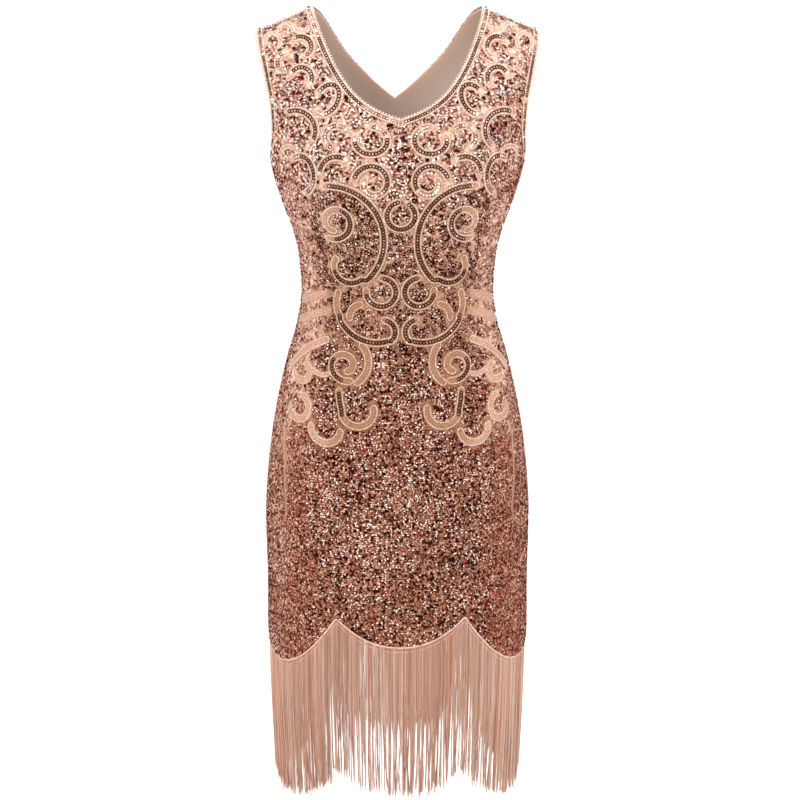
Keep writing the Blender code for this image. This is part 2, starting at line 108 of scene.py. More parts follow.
RINGS = table(
    "level half_width front back",
    (0.0115, 0.215, 0.0, 0.0),
    (0.01, 0.214, 0.018, 0.018),
    (0.005, 0.213, 0.034, 0.033),
    (-0.005, 0.21, 0.049, 0.047),
    (-0.02, 0.205, 0.063, 0.06),
    (-0.04, 0.198, 0.076, 0.072),
    (-0.065, 0.187, 0.087, 0.083),
    (-0.092, 0.175, 0.097, 0.091),
    (-0.115, 0.166, 0.105, 0.096),
    (-0.135, 0.157, 0.112, 0.0995),
    (-0.16, 0.1492, 0.118, 0.1015),
    (-0.19, 0.142, 0.1205, 0.1015),
    (-0.22, 0.1325, 0.1165, 0.0975),
    (-0.25, 0.1215, 0.1075, 0.0915),
    (-0.28, 0.1152, 0.0985, 0.0865),
    (-0.32, 0.1125, 0.0925, 0.084),
    (-0.36, 0.118, 0.0935, 0.0905),
    (-0.4, 0.1295, 0.0985, 0.103),
    (-0.45, 0.1415, 0.105, 0.1155),
    (-0.5, 0.1502, 0.1095, 0.1205),
    (-0.55, 0.1558, 0.1125, 0.1215),
    (-0.6, 0.1585, 0.115, 0.1205),
    (-0.68, 0.1572, 0.117, 0.119),
    (-0.74, 0.1578, 0.118, 0.1185),
    (-0.96, 0.1495, 0.1145, 0.115),
)
FRONT_NECK = table(
    "share x z",
    (0.0, 0.0, -0.1115),
    (0.07, 0.015, -0.1065),
    (0.16, 0.032, -0.0985),
    (0.28, 0.052, -0.0832),
    (0.45, 0.0712, -0.0568),
    (0.64, 0.0868, -0.0243),
    (0.745, 0.0935, -0.007),
    (0.845, 0.0973, 0.004),
    (1.0, 0.0995, 0.0115),
)
BACK_NECK = table(
    "share x z",
    (0.0, 0.0, -0.1004),
    (0.1, 0.0146, -0.0889),
    (0.29, 0.0397, -0.0652),
    (0.49, 0.062, -0.04),
    (0.68, 0.079, -0.0127),
    (0.83, 0.0905, 0.0045),
    (1.0, 0.0995, 0.0115),
)
ARMHOLE = table(
    "share x z",
    (0.0, 0.1492, -0.16),
    (0.15, 0.1484, -0.148),
    (0.3, 0.1467, -0.128),
    (0.5, 0.1487, -0.098),
    (0.7, 0.155, -0.066),
    (0.85, 0.1612, -0.038),
    (1.0, 0.165, -0.016),
)
HEM_SCALLOPS = table(
    "start end start_height end_height drop",
    (-1 / 3, 1 / 3, -0.7018, -0.7018, 0.0337),
    (1 / 3, 1.0, -0.7018, -0.7420, 0.0440),
)
FRINGE_SCALLOPS = table(
    "start end start_height end_height drop",
    (-1 / 3, 1 / 3, -0.8930, -0.8930, 0.0255),
    (1 / 3, 1.0, -0.8930, -0.9120, 0.0320),
)

# Soft creases of the worn cloth: ring angle from the middle of the half and lean in degrees,
# length, width and depth (a ridge where negative) in millimetres
CREASES = table(
    "side angle level length width depth lean",
    (FRONT, -66, -0.292, 88, 9, 2.1, 62),
    (FRONT, -52, -0.330, 64, 8, 1.5, 74),
    (FRONT, 61, -0.305, 76, 10, 1.9, -66),
    (FRONT, 48, -0.342, 58, 7, 1.3, -80),
    (FRONT, -74, -0.205, 52, 8, 1.8, -38),
    (FRONT, 76, -0.214, 60, 9, 2.0, 34),
    (FRONT, -20, -0.545, 190, 15, 1.7, 4),
    (FRONT, 31, -0.580, 165, 13, 1.5, -7),
    (FRONT, 8, -0.635, 120, 11, 1.4, 2),
    (FRONT, -44, -0.610, 145, 12, 1.9, 9),
    (FRONT, 57, -0.520, 130, 14, -1.6, -12),
    (FRONT, -62, -0.480, 118, 13, -1.5, 15),
    (FRONT, 4, -0.372, 70, 16, 1.1, 84),
    (BACK, -58, -0.298, 92, 9, 2.2, -64),
    (BACK, 54, -0.312, 80, 10, 2.0, 68),
    (BACK, -14, -0.300, 74, 12, 1.8, -82),
    (BACK, 20, -0.338, 60, 9, 1.4, 78),
    (BACK, -36, -0.560, 180, 14, 1.8, -6),
    (BACK, 12, -0.600, 150, 13, 1.5, 3),
    (BACK, 43, -0.545, 165, 15, -1.7, 8),
    (BACK, -66, -0.640, 110, 12, 1.6, -10),
    (BACK, 70, -0.210, 58, 9, 1.9, -36),
)
CREASE_RADIUS = 0.140

# ---- trims

EDGING_WIDTH = 0.0080
EDGING_THICKNESS = 0.0010
EDGING_STEP = 0.0015
EDGE_SECTION = ((0.01, 0.0), (0.04, 1.0), (0.5, 1.15), (0.96, 1.0), (1.0, 0.0))
BEAD_SHAPE = (0.96, 1.0, 0.9)
BEAD_RADIUS = 0.00090
BEAD_PITCH = 0.00195
BEAD_LIFT = 0.0002
EDGE_BEAD_RADIUS = 0.00115
EDGE_BEAD_PITCH = 0.00240
PICOT_RADIUS = 0.00105
PICOT_PITCH = 0.00390
PICOT_OVERHANG = 0.0008
PICOT_LIFT = 0.0004
SEAM_INSET = 0.0016
SEAM_BEAD_RADIUS = 0.00150
SEAM_BEAD_PITCH = 0.00330
SEAM_BEAD_LIFT = 0.0012
SEAM_CLEAR = 0.0004
TOOTH_RADIUS = 0.00090
TOOTH_PITCH = 0.00210
TOOTH_JITTER = 0.0002
TOOTH_OVERHANG = 0.0001
CHAIN_RADIUS = 0.00240
CHAIN_PITCH = 0.00365
CHAIN_LIFT = 0.0007
EDGE_CHAIN_RADIUS = 0.00205
EDGE_CHAIN_PITCH = 0.00330
EDGE_CHAIN_LIFT = 0.0006
# Share of the edging's width at which its chain lies, and the height above which it is pale
NECK_CHAIN = (0.52, -0.022)
ARM_CHAIN = (0.64, -0.042)
PALE_NECK_X = (-0.044, 0.006)
PALE_NECK_Z = (-0.1155, -0.080)
PALE_ABOVE = -0.205
PALE_LINKS = 0.36
WORN_ARM_TOP = -0.088
BAND_WIDTH = 0.0094
BAND_MARGIN = 0.0011
BAND_THICKNESS = 0.0011
BAND_STEP = 0.0014
BAND_SECTION = (
    (-1.0, 0.0), (-0.96, 0.4), (-0.80, 0.8), (0.0, 1.0), (0.80, 0.8), (0.96, 0.4), (1.0, 0.0),
)
PIPING_RADIUS = 0.0011
PIPING_COLUMNS = 240
STITCH_DROP = 0.0042
STITCH_RADIUS = 0.0004

# Beaded bands of the front's left half, which the right half mirrors. Each row is an arc or a
# spiral by its centre, its first and last radius in millimetres, its first angle and its turn,
# how much taller it is than wide, and its tilt. Rows of one name follow each other.
SCROLLS = table(
    "name x z radius end_radius start turn stretch tilt",
    ("seam_ring", -129, -15, 8, 8, 190, -200),
    ("strap_ring", -112, -8, 8, 8, 350, -170),
    ("shoulder_ring", -145, -27, 9, 9, 210, -260),
    ("shoulder_hook", -112, -32, 12, 12, 142, -212, 0.90),
    ("shoulder_loop", -128, -50, 11, 11, 215, -140, 1.05),
    ("shoulder_curl", -111, -67, 13, 11, 170, -215),
    ("neck_teardrop", -83, -90, 12, 12, -112, 290, 1.50, -32),
    ("side_ring", -126, -154, 10, 10, 200, -190),
    ("armhole_ring", -118, -125, 22, 22, 118, -175),
    ("front_crescent", -72, -132, 14, 13, 30, 220, 0.95),
    ("front_oval", -34, -135, 19, 18, 100, -310, 0.80),
    ("bust_crescent", -72, -172, 19, 19, 190, -140),
    ("bust_spiral", -32, -182, 22, 9, 178, -400),
    ("side_teardrop", -113, -176, 15, 15, 125, -195, 1.45),
    ("big_scroll", -79, -250, 60, 60, 100, -147, 1.07),
    ("big_scroll", -58, -281, 20, 17, -44, -175, 1.05),
    ("inner_spiral", -74, -228, 20, 9, -120, 400, 1.07),
    ("waist_flower", 0, -219, 16, 16, 90, 325),
    ("waist_loop", -22, -311, 17, 17, 100, -300),
    ("waist_scroll", -39, -326, 34, 34, 152, 58),
    ("waist_scroll", -31, -323, 44, 49, -152, 88),
    ("waist_scroll", -20, -357, 15, 13, -62, 160),
    ("upper_leaf", -73, -376, 60, 60, 98, 44),
    ("lower_leaf", -61, -418, 84, 84, 102, 34),
    ("long_leaf", -53, -448, 84, 84, 110, 44),
    ("waist_hook", -43, -341, 15, 15, 88, 112),
    ("hip_crescent", -66, -393, 29, 29, 48, -112),
    ("small_ring", -90, -396, 15, 15, 215, 90),
    ("hip_spiral", -64, -398, 19, 6, -60, -400),
    ("hip_drop", 4, -429, 75, 75, 176, 20),
    ("hip_drop", -50, -449, 19, 19, 190, 190),
    ("hip_ring", -115, -410, 10, 10, 60, -200, 1.10),
    ("hip_loop", -118, -451, 11, 11, 75, -240, 1.35),
    ("low_loop", -87, -473, 17, 17, 160, 205),
    ("side_line", 764, -531, 900, 900, 177, 6),
    ("side_line", -153, -578, 18, 18, 0, -115, 1.40),
    defaults=(1.0, 0),
)
MIDDLE_SCROLL = "waist_flower"
NARROW_SCROLLS = ("seam_ring", "strap_ring", "shoulder_ring", "side_ring", "small_ring")
ADDED_SCROLLS = (*NARROW_SCROLLS, "waist_hook", "hip_crescent", "side_line")
UNBEADED_SCROLLS = ("side_line", "upper_leaf", "lower_leaf")
WIDTHS = {**dict.fromkeys(NARROW_SCROLLS, 0.0058), "side_line": 0.0026}

# Stretch of each band that carries a chain of dark sequins, by the share of its length
CHAINS = {
    "shoulder_hook": (0.10, 0.75),
    "shoulder_curl": (0.15, 0.85),
    "neck_teardrop": (0.25, 0.95),
    "armhole_ring": (0.05, 0.80),
    "front_oval": (0.30, 0.90),
    "bust_crescent": (0.10, 0.90),
    "bust_spiral": (0.05, 0.60),
    "side_teardrop": (0.20, 0.70),
    "big_scroll": (0.05, 0.92),
    "inner_spiral": (0.10, 0.55),
    "waist_flower": (0.00, 1.00),
    "waist_loop": (0.05, 0.90),
    "waist_scroll": (0.20, 0.97),
    "hip_spiral": (0.15, 0.50),
    "hip_drop": (0.05, 0.36),
}
NO_CHAIN = (2.0, 2.0)

# ---- field sequins and fringe

FACETS = 6
RING_CORNERS = 8
CUP_DEPTH = 0.26
RIM_HEIGHT = 0.16
HOLE_SHARE = 0.51
SEQUIN_RADIUS = 0.00180
SEQUIN_PITCH = 0.00275
SEQUIN_ROW = 0.00262
UPPER_SIZE = 1.45
# How narrow the painted highlight on each sequin's facets is
PAINTED_GLINT_SHARPNESS = 2
RINGED_SHARE = 0.34
SEQUIN_TILT = 0.22
SIDE_TILT = 0.65
SEAM_TILT = 0.08
SEQUIN_LIFT = 0.0008
SIDE_LIFT = 0.0018
SEAM_LIFT = 0.0004
SEQUIN_HANG = 0.20
SEQUIN_SPLIT = -0.385
EDGE_CLEAR = 0.0008
BAND_CLEAR = 0.0004
# Unevenness of the rows below and above the waist, as ring angles and as levels
ANGLE_JITTER = (0.0040, 0.0070)
LEVEL_JITTER = (0.0004, 0.0009)
SPARSE_REACH = 0.0080
SPARSE_ZONES = table(
    "fewer start end",
    (0.10, -0.42, -0.34),
    (0.08, -0.22, -0.12),
    (0.30, -0.026, -0.006),
)
LOWEST_TIP = -0.9440
STRAND_RADIUS = 0.00023
STRAND_STATIONS = 7
STATION_CROWDING = 0.60
FRINGE_BUNCHING = 0.040
LOOSE_THREADS = 0.10
THREAD_WAVE = 0.0026
CLUMP_WAVE = 0.0040
CLUMP_DRIFT = 0.0085
TIP_SPREAD = 0.0030
CLUMP_TIP_SPREAD = 0.0035
STRANDS = {"front": 4400, "back": 2800}
CLUMPS = {"front": 250, "back": 150}


class Curve:
    """Smooth curve through two columns of a table, which never overshoots."""

    def __init__(self, rows, key, value):
        pairs = sorted((getattr(row, key), getattr(row, value)) for row in rows)
        self.keys, self.values = np.array(pairs).T
        rises = np.diff(self.values) / np.diff(self.keys)
        before, after = rises[:-1], rises[1:]
        total = np.where(before * after > 0.0, before + after, np.inf)
        middle = 2.0 * before * after / total
        self.slopes = np.concatenate(([rises[0]], middle, [rises[-1]]))

    def __call__(self, key):
        i = np.clip(np.searchsorted(self.keys, key) - 1, 0, len(self.keys) - 2)
        span = self.keys[i + 1] - self.keys[i]
        t = np.clip((key - self.keys[i]) / span, 0.0, 1.0)
        start = (1.0 + 2.0 * t) * self.values[i] + t * span * self.slopes[i]
        end = (3.0 - 2.0 * t) * self.values[i + 1] + (t - 1.0) * span * self.slopes[i + 1]
        return (1.0 - t) ** 2 * start + t * t * end


HALF_WIDTH = Curve(RINGS, "level", "half_width")
DEPTH = {FRONT: Curve(RINGS, "level", "front"), BACK: Curve(RINGS, "level", "back")}
NECK_X = {FRONT: Curve(FRONT_NECK, "share", "x"), BACK: Curve(BACK_NECK, "share", "x")}
NECK_Z = {FRONT: Curve(FRONT_NECK, "share", "z"), BACK: Curve(BACK_NECK, "share", "z")}
ARMHOLE_X = Curve(ARMHOLE, "share", "x")
ARMHOLE_Z = Curve(ARMHOLE, "share", "z")


def blend(start, end, share):
    return start + (end - start) * share


def unit(vectors):
    return vectors / np.maximum(np.linalg.norm(vectors, axis=-1, keepdims=True), 1e-12)


def smooth_share(value, start, end):
    """0 before start and 1 after end, soft between them."""
    t = np.clip((value - start) / (end - start), 0.0, 1.0)
    return t * t * (3.0 - 2.0 * t)


def aside(around, start, end):
    """0 near the middle of a half and 1 at its sides, soft between two angles in degrees."""
    return smooth_share(np.abs(around), np.radians(start), np.radians(end))


# ---- the cloth's surface

def slope_drop(x, z=SLOPE_STARTS):
    """How far the shoulders' slope lowers the cloth, fading to the underarm."""
    drop = SHOULDER_SLOPE * np.maximum(0.0, np.abs(x) - NECK_HALF_WIDTH)
    return drop * smooth_share(z, UNDERARM, SLOPE_STARTS)


def seam_height(x):
    """Height of the shoulder seam."""
    return SHOULDER_TOP - slope_drop(x)


def smooth_point(angle, level):
    """Point of the cloth's outer face before its creases."""
    power = 2.0 / SECTION_POWER
    sine, cosine = np.sin(angle), np.cos(angle)
    x = HALF_WIDTH(level) * np.sign(sine) * np.abs(sine) ** power
    z = level
    for _ in range(5):
        z = level - slope_drop(x, z)
    bust = ((np.abs(x) - BUST_X) / BUST_WIDTH) ** 2 + ((z - BUST_Z) / BUST_LENGTH) ** 2
    front = DEPTH[FRONT](level) + BUST_HEIGHT * np.exp(-bust)
    depth = np.where(cosine >= 0.0, front, DEPTH[BACK](level))
    side = np.where(cosine >= 0.0, FRONT, BACK)
    y = side * (0.5 * SEAM_GAP + depth * np.abs(cosine) ** power)
    return np.stack([x, y, z], axis=-1)


def facing_out(points, normals):
    """Normals turned away from the dress's axis."""
    outward = points * np.array([1.0, 1.0, 0.0]) + np.array([0.0, 0.0, 0.002])
    inward = np.sum(normals * outward, axis=-1, keepdims=True) < 0.0
    return unit(np.where(inward, -normals, normals))


def slopes_cross(place, angle, level):
    """Normals of a surface given as a function of angle and level."""
    angle_step, level_step = 0.004, 0.0006
    level = np.minimum(level, SHOULDER_TOP - 2.0 * level_step)
    round_ring = place(angle + angle_step, level) - place(angle - angle_step, level)
    up_level = place(angle, level + level_step) - place(angle, level - level_step)
    return facing_out(place(angle, level), np.cross(round_ring, up_level))


def turned(angle):
    """The same angle within half a turn of 0."""
    return np.mod(angle + np.pi, 2.0 * np.pi) - np.pi


def half_angle(side, angle):
    """Angle from the middle of the half from a ring angle, or the reverse."""
    return angle if side == FRONT else turned(np.pi - angle)


def crease_height(angle, level):
    """How far the creases push the cloth out."""
    height = np.zeros(np.broadcast(angle, level).shape)
    for row in CREASES:
        x = CREASE_RADIUS * turned(angle - half_angle(row.side, np.radians(row.angle)))
        z = level - row.level
        sine, cosine = np.sin(np.radians(row.lean)), np.cos(np.radians(row.lean))
        along = (z * cosine + x * sine) / (0.5 * row.length * MILLIMETRE)
        across = (x * cosine - z * sine) / (row.width * MILLIMETRE)
        fade = np.clip(1.0 - along * along, 0.0, None) ** 2
        height -= row.depth * MILLIMETRE * np.exp(-across * across) * fade
    return height


def cloth_point(angle, level):
    """Point of the creased cloth."""
    out = slopes_cross(smooth_point, angle, level)
    return smooth_point(angle, level) + out * crease_height(angle, level)[..., None]


def cloth_normal(angle, level):
    return slopes_cross(cloth_point, angle, level)


def place_of(side, x, z):
    """Ring angle and level of a point given by x and z."""
    level = z + slope_drop(x, z)
    share = np.clip(np.abs(x) / HALF_WIDTH(level), 0.0, 1.0)
    angle = np.sign(x) * np.arcsin(share ** (0.5 * SECTION_POWER))
    return (angle if side == FRONT else np.pi - angle), level


def column_angle(u):
    """Angle from the middle of a column, -1 and 1 at the side seams."""
    return QUARTER * u * (0.9 + 0.1 * u * u)


def top_place(side, u):
    """x and z of a column's end on the neck edge or the shoulder seam."""
    size = np.abs(u)
    share = 1.0 - np.clip(1.0 - size / NECK_END, 0.0, 1.0) ** NECK_CROWDING
    shoulder_x = blend(NECK_HALF_WIDTH, ARMHOLE_X(1.0), (size - NECK_END) / (1.0 - NECK_END))
    on_neck = size <= NECK_END
    x = np.where(on_neck, NECK_X[side](share), shoulder_x)
    z = np.where(on_neck, NECK_Z[side](share), seam_height(shoulder_x))
    return np.sign(u) * x, z


def bow(curve, share):
    """How far a curve stands off the straight line between its ends."""
    return curve(share) - blend(curve(0.0), curve(1.0), share)


def upper_place(side, u, share):
    """x and z above the underarm, between the armhole edges."""
    top_x, top_z = top_place(side, u)
    underarm_x = smooth_point(column_angle(u), UNDERARM)[..., 0]
    pull = np.abs(u) ** 3
    x = blend(underarm_x, top_x, share) + np.sign(u) * pull * bow(ARMHOLE_X, share)
    z = blend(UNDERARM, top_z, share) + pull * bow(ARMHOLE_Z, share)
    return x, np.minimum(z, seam_height(x))


def scalloped(scallops, u):
    """Height of a scalloped edge at a column."""
    heights = []
    for row in scallops:
        share = (np.abs(u) - row.start) / (row.end - row.start)
        straight = blend(row.start_height, row.end_height, share)
        heights.append(straight - row.drop * 4.0 * share * (1.0 - share))
    return np.where(np.abs(u) <= scallops[0].end, *heights)


# ---- mesh helpers

def make_piece(name, points, faces, finish, slot):
    """Smooth mesh with a finish, riding on the dress; its slot is not used."""
    mesh = bpy.data.meshes.new(name)
    mesh.from_pydata(np.reshape(points, (-1, 3)).tolist(), [], faces.tolist())
    mesh.shade_smooth()
    mesh.materials.append(bpy.data.materials[finish])
    piece = bpy.data.objects.new(name, mesh)
    bpy.context.scene.collection.objects.link(piece)
    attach(piece, "root")
    return piece


def paint(piece, name, values, domain="POINT"):
    """Numbers for a piece's points, faces or corners, which its finish reads."""
    layer = piece.data.attributes.new(name, "FLOAT", domain)
    layer.data.foreach_set("value", np.asarray(values, dtype=np.float32).ravel())


def grid_faces(rows, columns, closed=False):
    """Quads of a grid of points, its last column joined to its first if closed."""
    r, c = np.meshgrid(np.arange(rows - 1), np.arange(columns if closed else columns - 1), indexing="ij")
    a, b = r * columns + c, r * columns + (c + 1) % columns
    return np.stack([a, b, b + columns, a + columns], axis=-1).reshape(-1, 4)


def make_strip(name, lines, finish, slot):
    """Piece through lines of points, the last one joined to the first."""
    points = np.stack(lines, axis=1)
    return make_piece(name, points, grid_faces(*points.shape[:2], closed=True), finish, slot)


def joined_copies(shape, faces, centres, frames):
    """Points and faces of copies of a shape; a frame's rows are its three axes."""
    points = centres[:, None, :] + np.einsum("kj,njc->nkc", shape, frames)
    shift = len(shape) * np.arange(len(centres))
    return points, (faces + shift[:, None, None]).reshape(-1, 3)


def run_along(path):
    """Length of a path up to each of its points."""
    return np.concatenate(([0.0], np.cumsum(np.linalg.norm(np.diff(path, axis=0), axis=1))))


def resampled(path, pitch, closed=False):
    """Points at equal steps along a path, and the direction of the path there."""
    if closed:
        path = np.vstack([path, path[:1]])
    run = run_along(path)
    count = max(2, int(round(run[-1] / pitch)) + (0 if closed else 1))
    stops = np.linspace(0.0, run[-1], count, endpoint=not closed)
    spots = np.stack([np.interp(stops, run, column) for column in path.T], axis=1)
    return spots, unit(np.gradient(spots, axis=0))


def gap_to(points, lines, reaches=0.0):
    """Distance of each point from the nearest of the lines, less its reach."""
    tree = KDTree(len(lines))
    for i, point in enumerate(lines):
        tree.insert(point, i)
    tree.balance()
    _, nearest, distance = zip(*(tree.find(point) for point in points))
    return np.array(distance) - np.broadcast_to(reaches, len(lines))[list(nearest)]


class Ground:
    """The outer face of one half of the cloth, to lay things on."""

    def __init__(self, points, faces):
        self.tree = BVHTree.FromPolygons(points.tolist(), faces.tolist())

    def drop(self, points, lift=0.0):
        """Nearest points of the face, raised by a lift, and the normals there."""
        found = [self.tree.find_nearest(Vector(point)) for point in points]
        feet = np.array([hit[0] for hit in found])
        out = facing_out(feet, np.array([hit[1] for hit in found]))
        return feet + out * lift, out

    def lay(self, path, pitch, lift, closed=False):
        """Centres, directions and normals of things at equal steps along a path."""
        spots, direction = resampled(path, pitch, closed)
        spots, out = self.drop(spots, lift)
        return spots, direction, out


# ---- finishes

def srgb(red, green, blue):
    """Colour as seen on a screen, 0 to 255, as a linear colour."""
    value = np.array([red, green, blue]) / 255.0
    linear = np.where(value <= 0.04045, value / 12.92, ((value + 0.055) / 1.055) ** 2.4)
    return (*linear.tolist(), 1.0)


class Finish:
    """Node material, built up from its Principled shader."""

    def __init__(self, name):
        self.made = bpy.data.materials.new(name)
        self.made.use_nodes = True
        self.shader = self.made.node_tree.nodes["Principled BSDF"]

    def feed(self, node, inputs):
        """Set inputs of a node, or link them to other nodes' outputs."""
        for name, value in inputs.items():
            if isinstance(value, bpy.types.NodeSocket):
                self.made.node_tree.links.new(value, node.inputs[name])
            else:
                node.inputs[name].default_value = value

    def new(self, kind, inputs, **settings):
        """Outputs of a new node."""
        node = self.made.node_tree.nodes.new(kind)
        for name, value in settings.items():
            setattr(node, name, value)
        self.feed(node, inputs)
        return node.outputs

    def place(self):
        """The object's own coordinates."""
        return self.new("ShaderNodeTexCoord", {})["Object"]

    def noise(self, scale, detail):
        inputs = {"Vector": self.place(), "Scale": scale, "Detail": detail}
        return self.new("ShaderNodeTexNoise", inputs)["Fac"]

    def height(self, bottom, top):
        """0 at one height and 1 at another."""
        z = self.new("ShaderNodeSeparateXYZ", {"Vector": self.place()})["Z"]
        inputs = {"Value": z, "From Min": bottom, "From Max": top}
        return self.new("ShaderNodeMapRange", inputs)["Result"]

    def painted(self, name):
        """Numbers painted on a piece under a name."""
        return self.new("ShaderNodeAttribute", {}, attribute_name=name)["Fac"]

    def ramp(self, fac, *stops):
        """Colours between stops, each a position and a colour as seen on a screen."""
        made = self.new("ShaderNodeValToRGB", {"Fac": fac})["Color"]
        elements = made.node.color_ramp.elements
        while len(elements) < len(stops):
            elements.new(0.5)
        for element, (position, *colour) in zip(elements, stops):
            element.position = position
            element.color = srgb(*colour)
        return made

    def mix(self, share, first, second):
        """Two colours mixed by a share."""
        return self.new("ShaderNodeMix", {0: share, 6: first, 7: second}, data_type="RGBA")[2]

    def bump(self, height, strength, distance):
        inputs = {"Height": height, "Strength": strength, "Distance": distance}
        self.feed(self.shader, {"Normal": self.new("ShaderNodeBump", inputs)["Normal"]})

    def shade(self, colour, roughness, metallic=0.0, specular=0.5, sheen=0.0, coat=0.0):
        """Colour and constants of the shader."""
        self.feed(self.shader, {
            "Base Color": colour,
            "Roughness": roughness,
            "Metallic": metallic,
            "Specular IOR Level": specular,
            "Sheen Weight": sheen,
            "Coat Weight": coat,
        })


def mesh_finish():
    """Peach net seen between the sequins, in painted shade where they crowd, pale where they are sparse.
    """
    finish = Finish("peach_mesh")
    noise = finish.noise(260.0, 3.0)
    # the darker ramp is painted shade of the crowded sequins over the net
    dark = finish.ramp(noise, (0.30, 114, 71, 49), (0.55, 144, 98, 73), (0.78, 170, 124, 97))
    pale = finish.ramp(noise, (0.38, 190, 140, 117), (0.53, 226, 183, 159), (0.68, 248, 217, 196))
    finish.shade(finish.mix(finish.painted("pale"), dark, pale), 0.65, specular=0.2)
    net = finish.new("ShaderNodeTexVoronoi", {"Vector": finish.place(), "Scale": 900.0})
    finish.bump(net["Distance"], 0.5, 0.0006)


def lining_finish():
    """Plain lining, taupe with a pinker facing along the neck edge, partly painted light on its top."""
    finish = Finish("taupe_lining")
    noise = finish.noise(1400.0, 2.0)
    low = finish.ramp(noise, (0.30, 190, 168, 152), (0.70, 200, 178, 162))
    high = finish.ramp(noise, (0.30, 184, 161, 146), (0.70, 192, 169, 154))
    # lighter, pinker facing: partly the real facing, partly painted light on the lining's top
    facing = finish.ramp(noise, (0.30, 206, 170, 148), (0.70, 216, 180, 158))
    plain = finish.mix(finish.height(-0.105, -0.030), low, high)
    finish.shade(finish.mix(finish.painted("facing"), plain, facing), 0.6, sheen=0.1)
    finish.bump(noise, 0.25, 0.0003)


def sequin_finish():
    """Foil sequins from near black through rose beige to pale pink, or red; the painted tone holds
    painted highlights and painted shade.
    """
    finish = Finish("rose_sequins")
    tone = finish.painted("tone")
    brown = finish.ramp(
        tone, (0.00, 12, 1, 0), (0.14, 56, 12, 6), (0.28, 98, 46, 31), (0.42, 142, 89, 67),
        (0.58, 173, 121, 97), (0.76, 214, 181, 165), (1.00, 255, 250, 246),
    )
    red = finish.ramp(
        tone, (0.00, 42, 4, 2), (0.30, 112, 28, 18), (0.50, 152, 74, 56), (0.68, 198, 146, 122),
        (1.00, 252, 222, 208),
    )
    colour = finish.mix(finish.painted("red"), brown, red)
    finish.shade(colour, 0.38, metallic=0.35, specular=0.05)
    finish.bump(finish.noise(1800.0, 1.0), 0.15, 0.0002)


def bead_finish():
    """Cream glass beads with a pearly coat."""
    finish = Finish("cream_beads")
    noise = finish.noise(420.0, 1.0)
    low = finish.ramp(noise, (0.30, 190, 150, 124), (0.52, 224, 192, 166), (0.74, 250, 230, 210))
    high = finish.ramp(noise, (0.30, 214, 180, 158), (0.52, 242, 222, 204), (0.74, 255, 248, 240))
    finish.shade(finish.mix(finish.height(-0.34, -0.06), low, high), 0.25, specular=0.6, coat=0.4)


def tooth_finish():
    """Small glass beads, pale in the neck's V and brown at the shoulders."""
    finish = Finish("neck_beads")
    noise = finish.noise(500.0, 1.0)
    low = finish.ramp(noise, (0.35, 176, 138, 118), (0.65, 208, 174, 156))
    high = finish.ramp(noise, (0.35, 74, 44, 32), (0.65, 128, 90, 72))
    finish.shade(finish.mix(finish.height(-0.085, -0.045), low, high), 0.5, specular=0.2)


def band_finish():
    """Fine peach net of the bands, with its threads raised."""
    finish = Finish("band_mesh")
    noise = finish.noise(700.0, 3.0)
    dark = finish.ramp(noise, (0.30, 116, 76, 54), (0.52, 150, 107, 80), (0.75, 178, 134, 106))
    pale = finish.ramp(noise, (0.38, 170, 122, 101), (0.52, 206, 163, 141), (0.66, 232, 199, 179))
    finish.shade(finish.mix(finish.painted("pale"), dark, pale), 0.6, specular=0.2)
    finish.bump(noise, 0.4, 0.0005)


def satin_finish():
    """Pale pink satin cord with its twist."""
    finish = Finish("pink_satin")
    noise = finish.noise(300.0, 2.0)
    finish.shade(finish.ramp(noise, (0.30, 182, 134, 114), (0.70, 228, 188, 170)), 0.3, sheen=0.2)
    finish.bump(noise, 0.3, 0.0004)


def fringe_finish():
    """Salmon rayon threads, no two of quite the same tone."""
    finish = Finish("salmon_rayon")
    tone = finish.painted("tone")
    plain = finish.ramp(
        tone, (0.00, 160, 106, 82), (0.30, 192, 146, 121), (0.62, 212, 174, 151), (1.00, 234, 208, 192)
    )
    rose = finish.ramp(tone, (0.00, 160, 80, 54), (1.00, 216, 142, 112))
    finish.shade(finish.mix(finish.painted("rose"), plain, rose), 0.45, specular=0.3, sheen=0.1)


def floor_finish():
    """Plain pale floor."""
    finish = Finish("pale_floor")
    noise = finish.noise(3.0, 2.0)
    finish.shade(finish.ramp(noise, (0.3, 252, 252, 252), (0.7, 254, 254, 254)), 0.9, specular=0.1)


FINISHES = (
    mesh_finish, lining_finish, sequin_finish, bead_finish, tooth_finish, band_finish,
    satin_finish, fringe_finish, floor_finish,
)


# ---- cloth

def waist_share(z):
    """1 round the waist and 0 above the bust and on the skirt."""
    return smooth_share(z, -0.43, -0.36) * (1.0 - smooth_share(z, -0.24, -0.17))


def bare_side(around, z):
    """1 at the sides of the bodice, where the net shows most, and 0 elsewhere."""
    return aside(around, 36.0, 62.0) * smooth_share(z, *BODICE_SIDE)


def net_out_of_painted_shade(around, z):
    """How far the net is out of its painted shade: most on the shoulders and at the bodice's sides."""
    return np.maximum(smooth_share(z, -0.44, -0.05), 0.74 * bare_side(around, z))


def paint_trim(piece):
    """Make a trim's net paler on the shoulders and at the bodice's sides."""
    x, _, z = np.array([vertex.co for vertex in piece.data.vertices]).T
    beside = smooth_share(np.abs(x), 0.068, 0.096) * smooth_share(z, *BODICE_SIDE)
    paint(piece, "pale", np.maximum(smooth_share(z, -0.30, -0.04), 0.66 * beside))


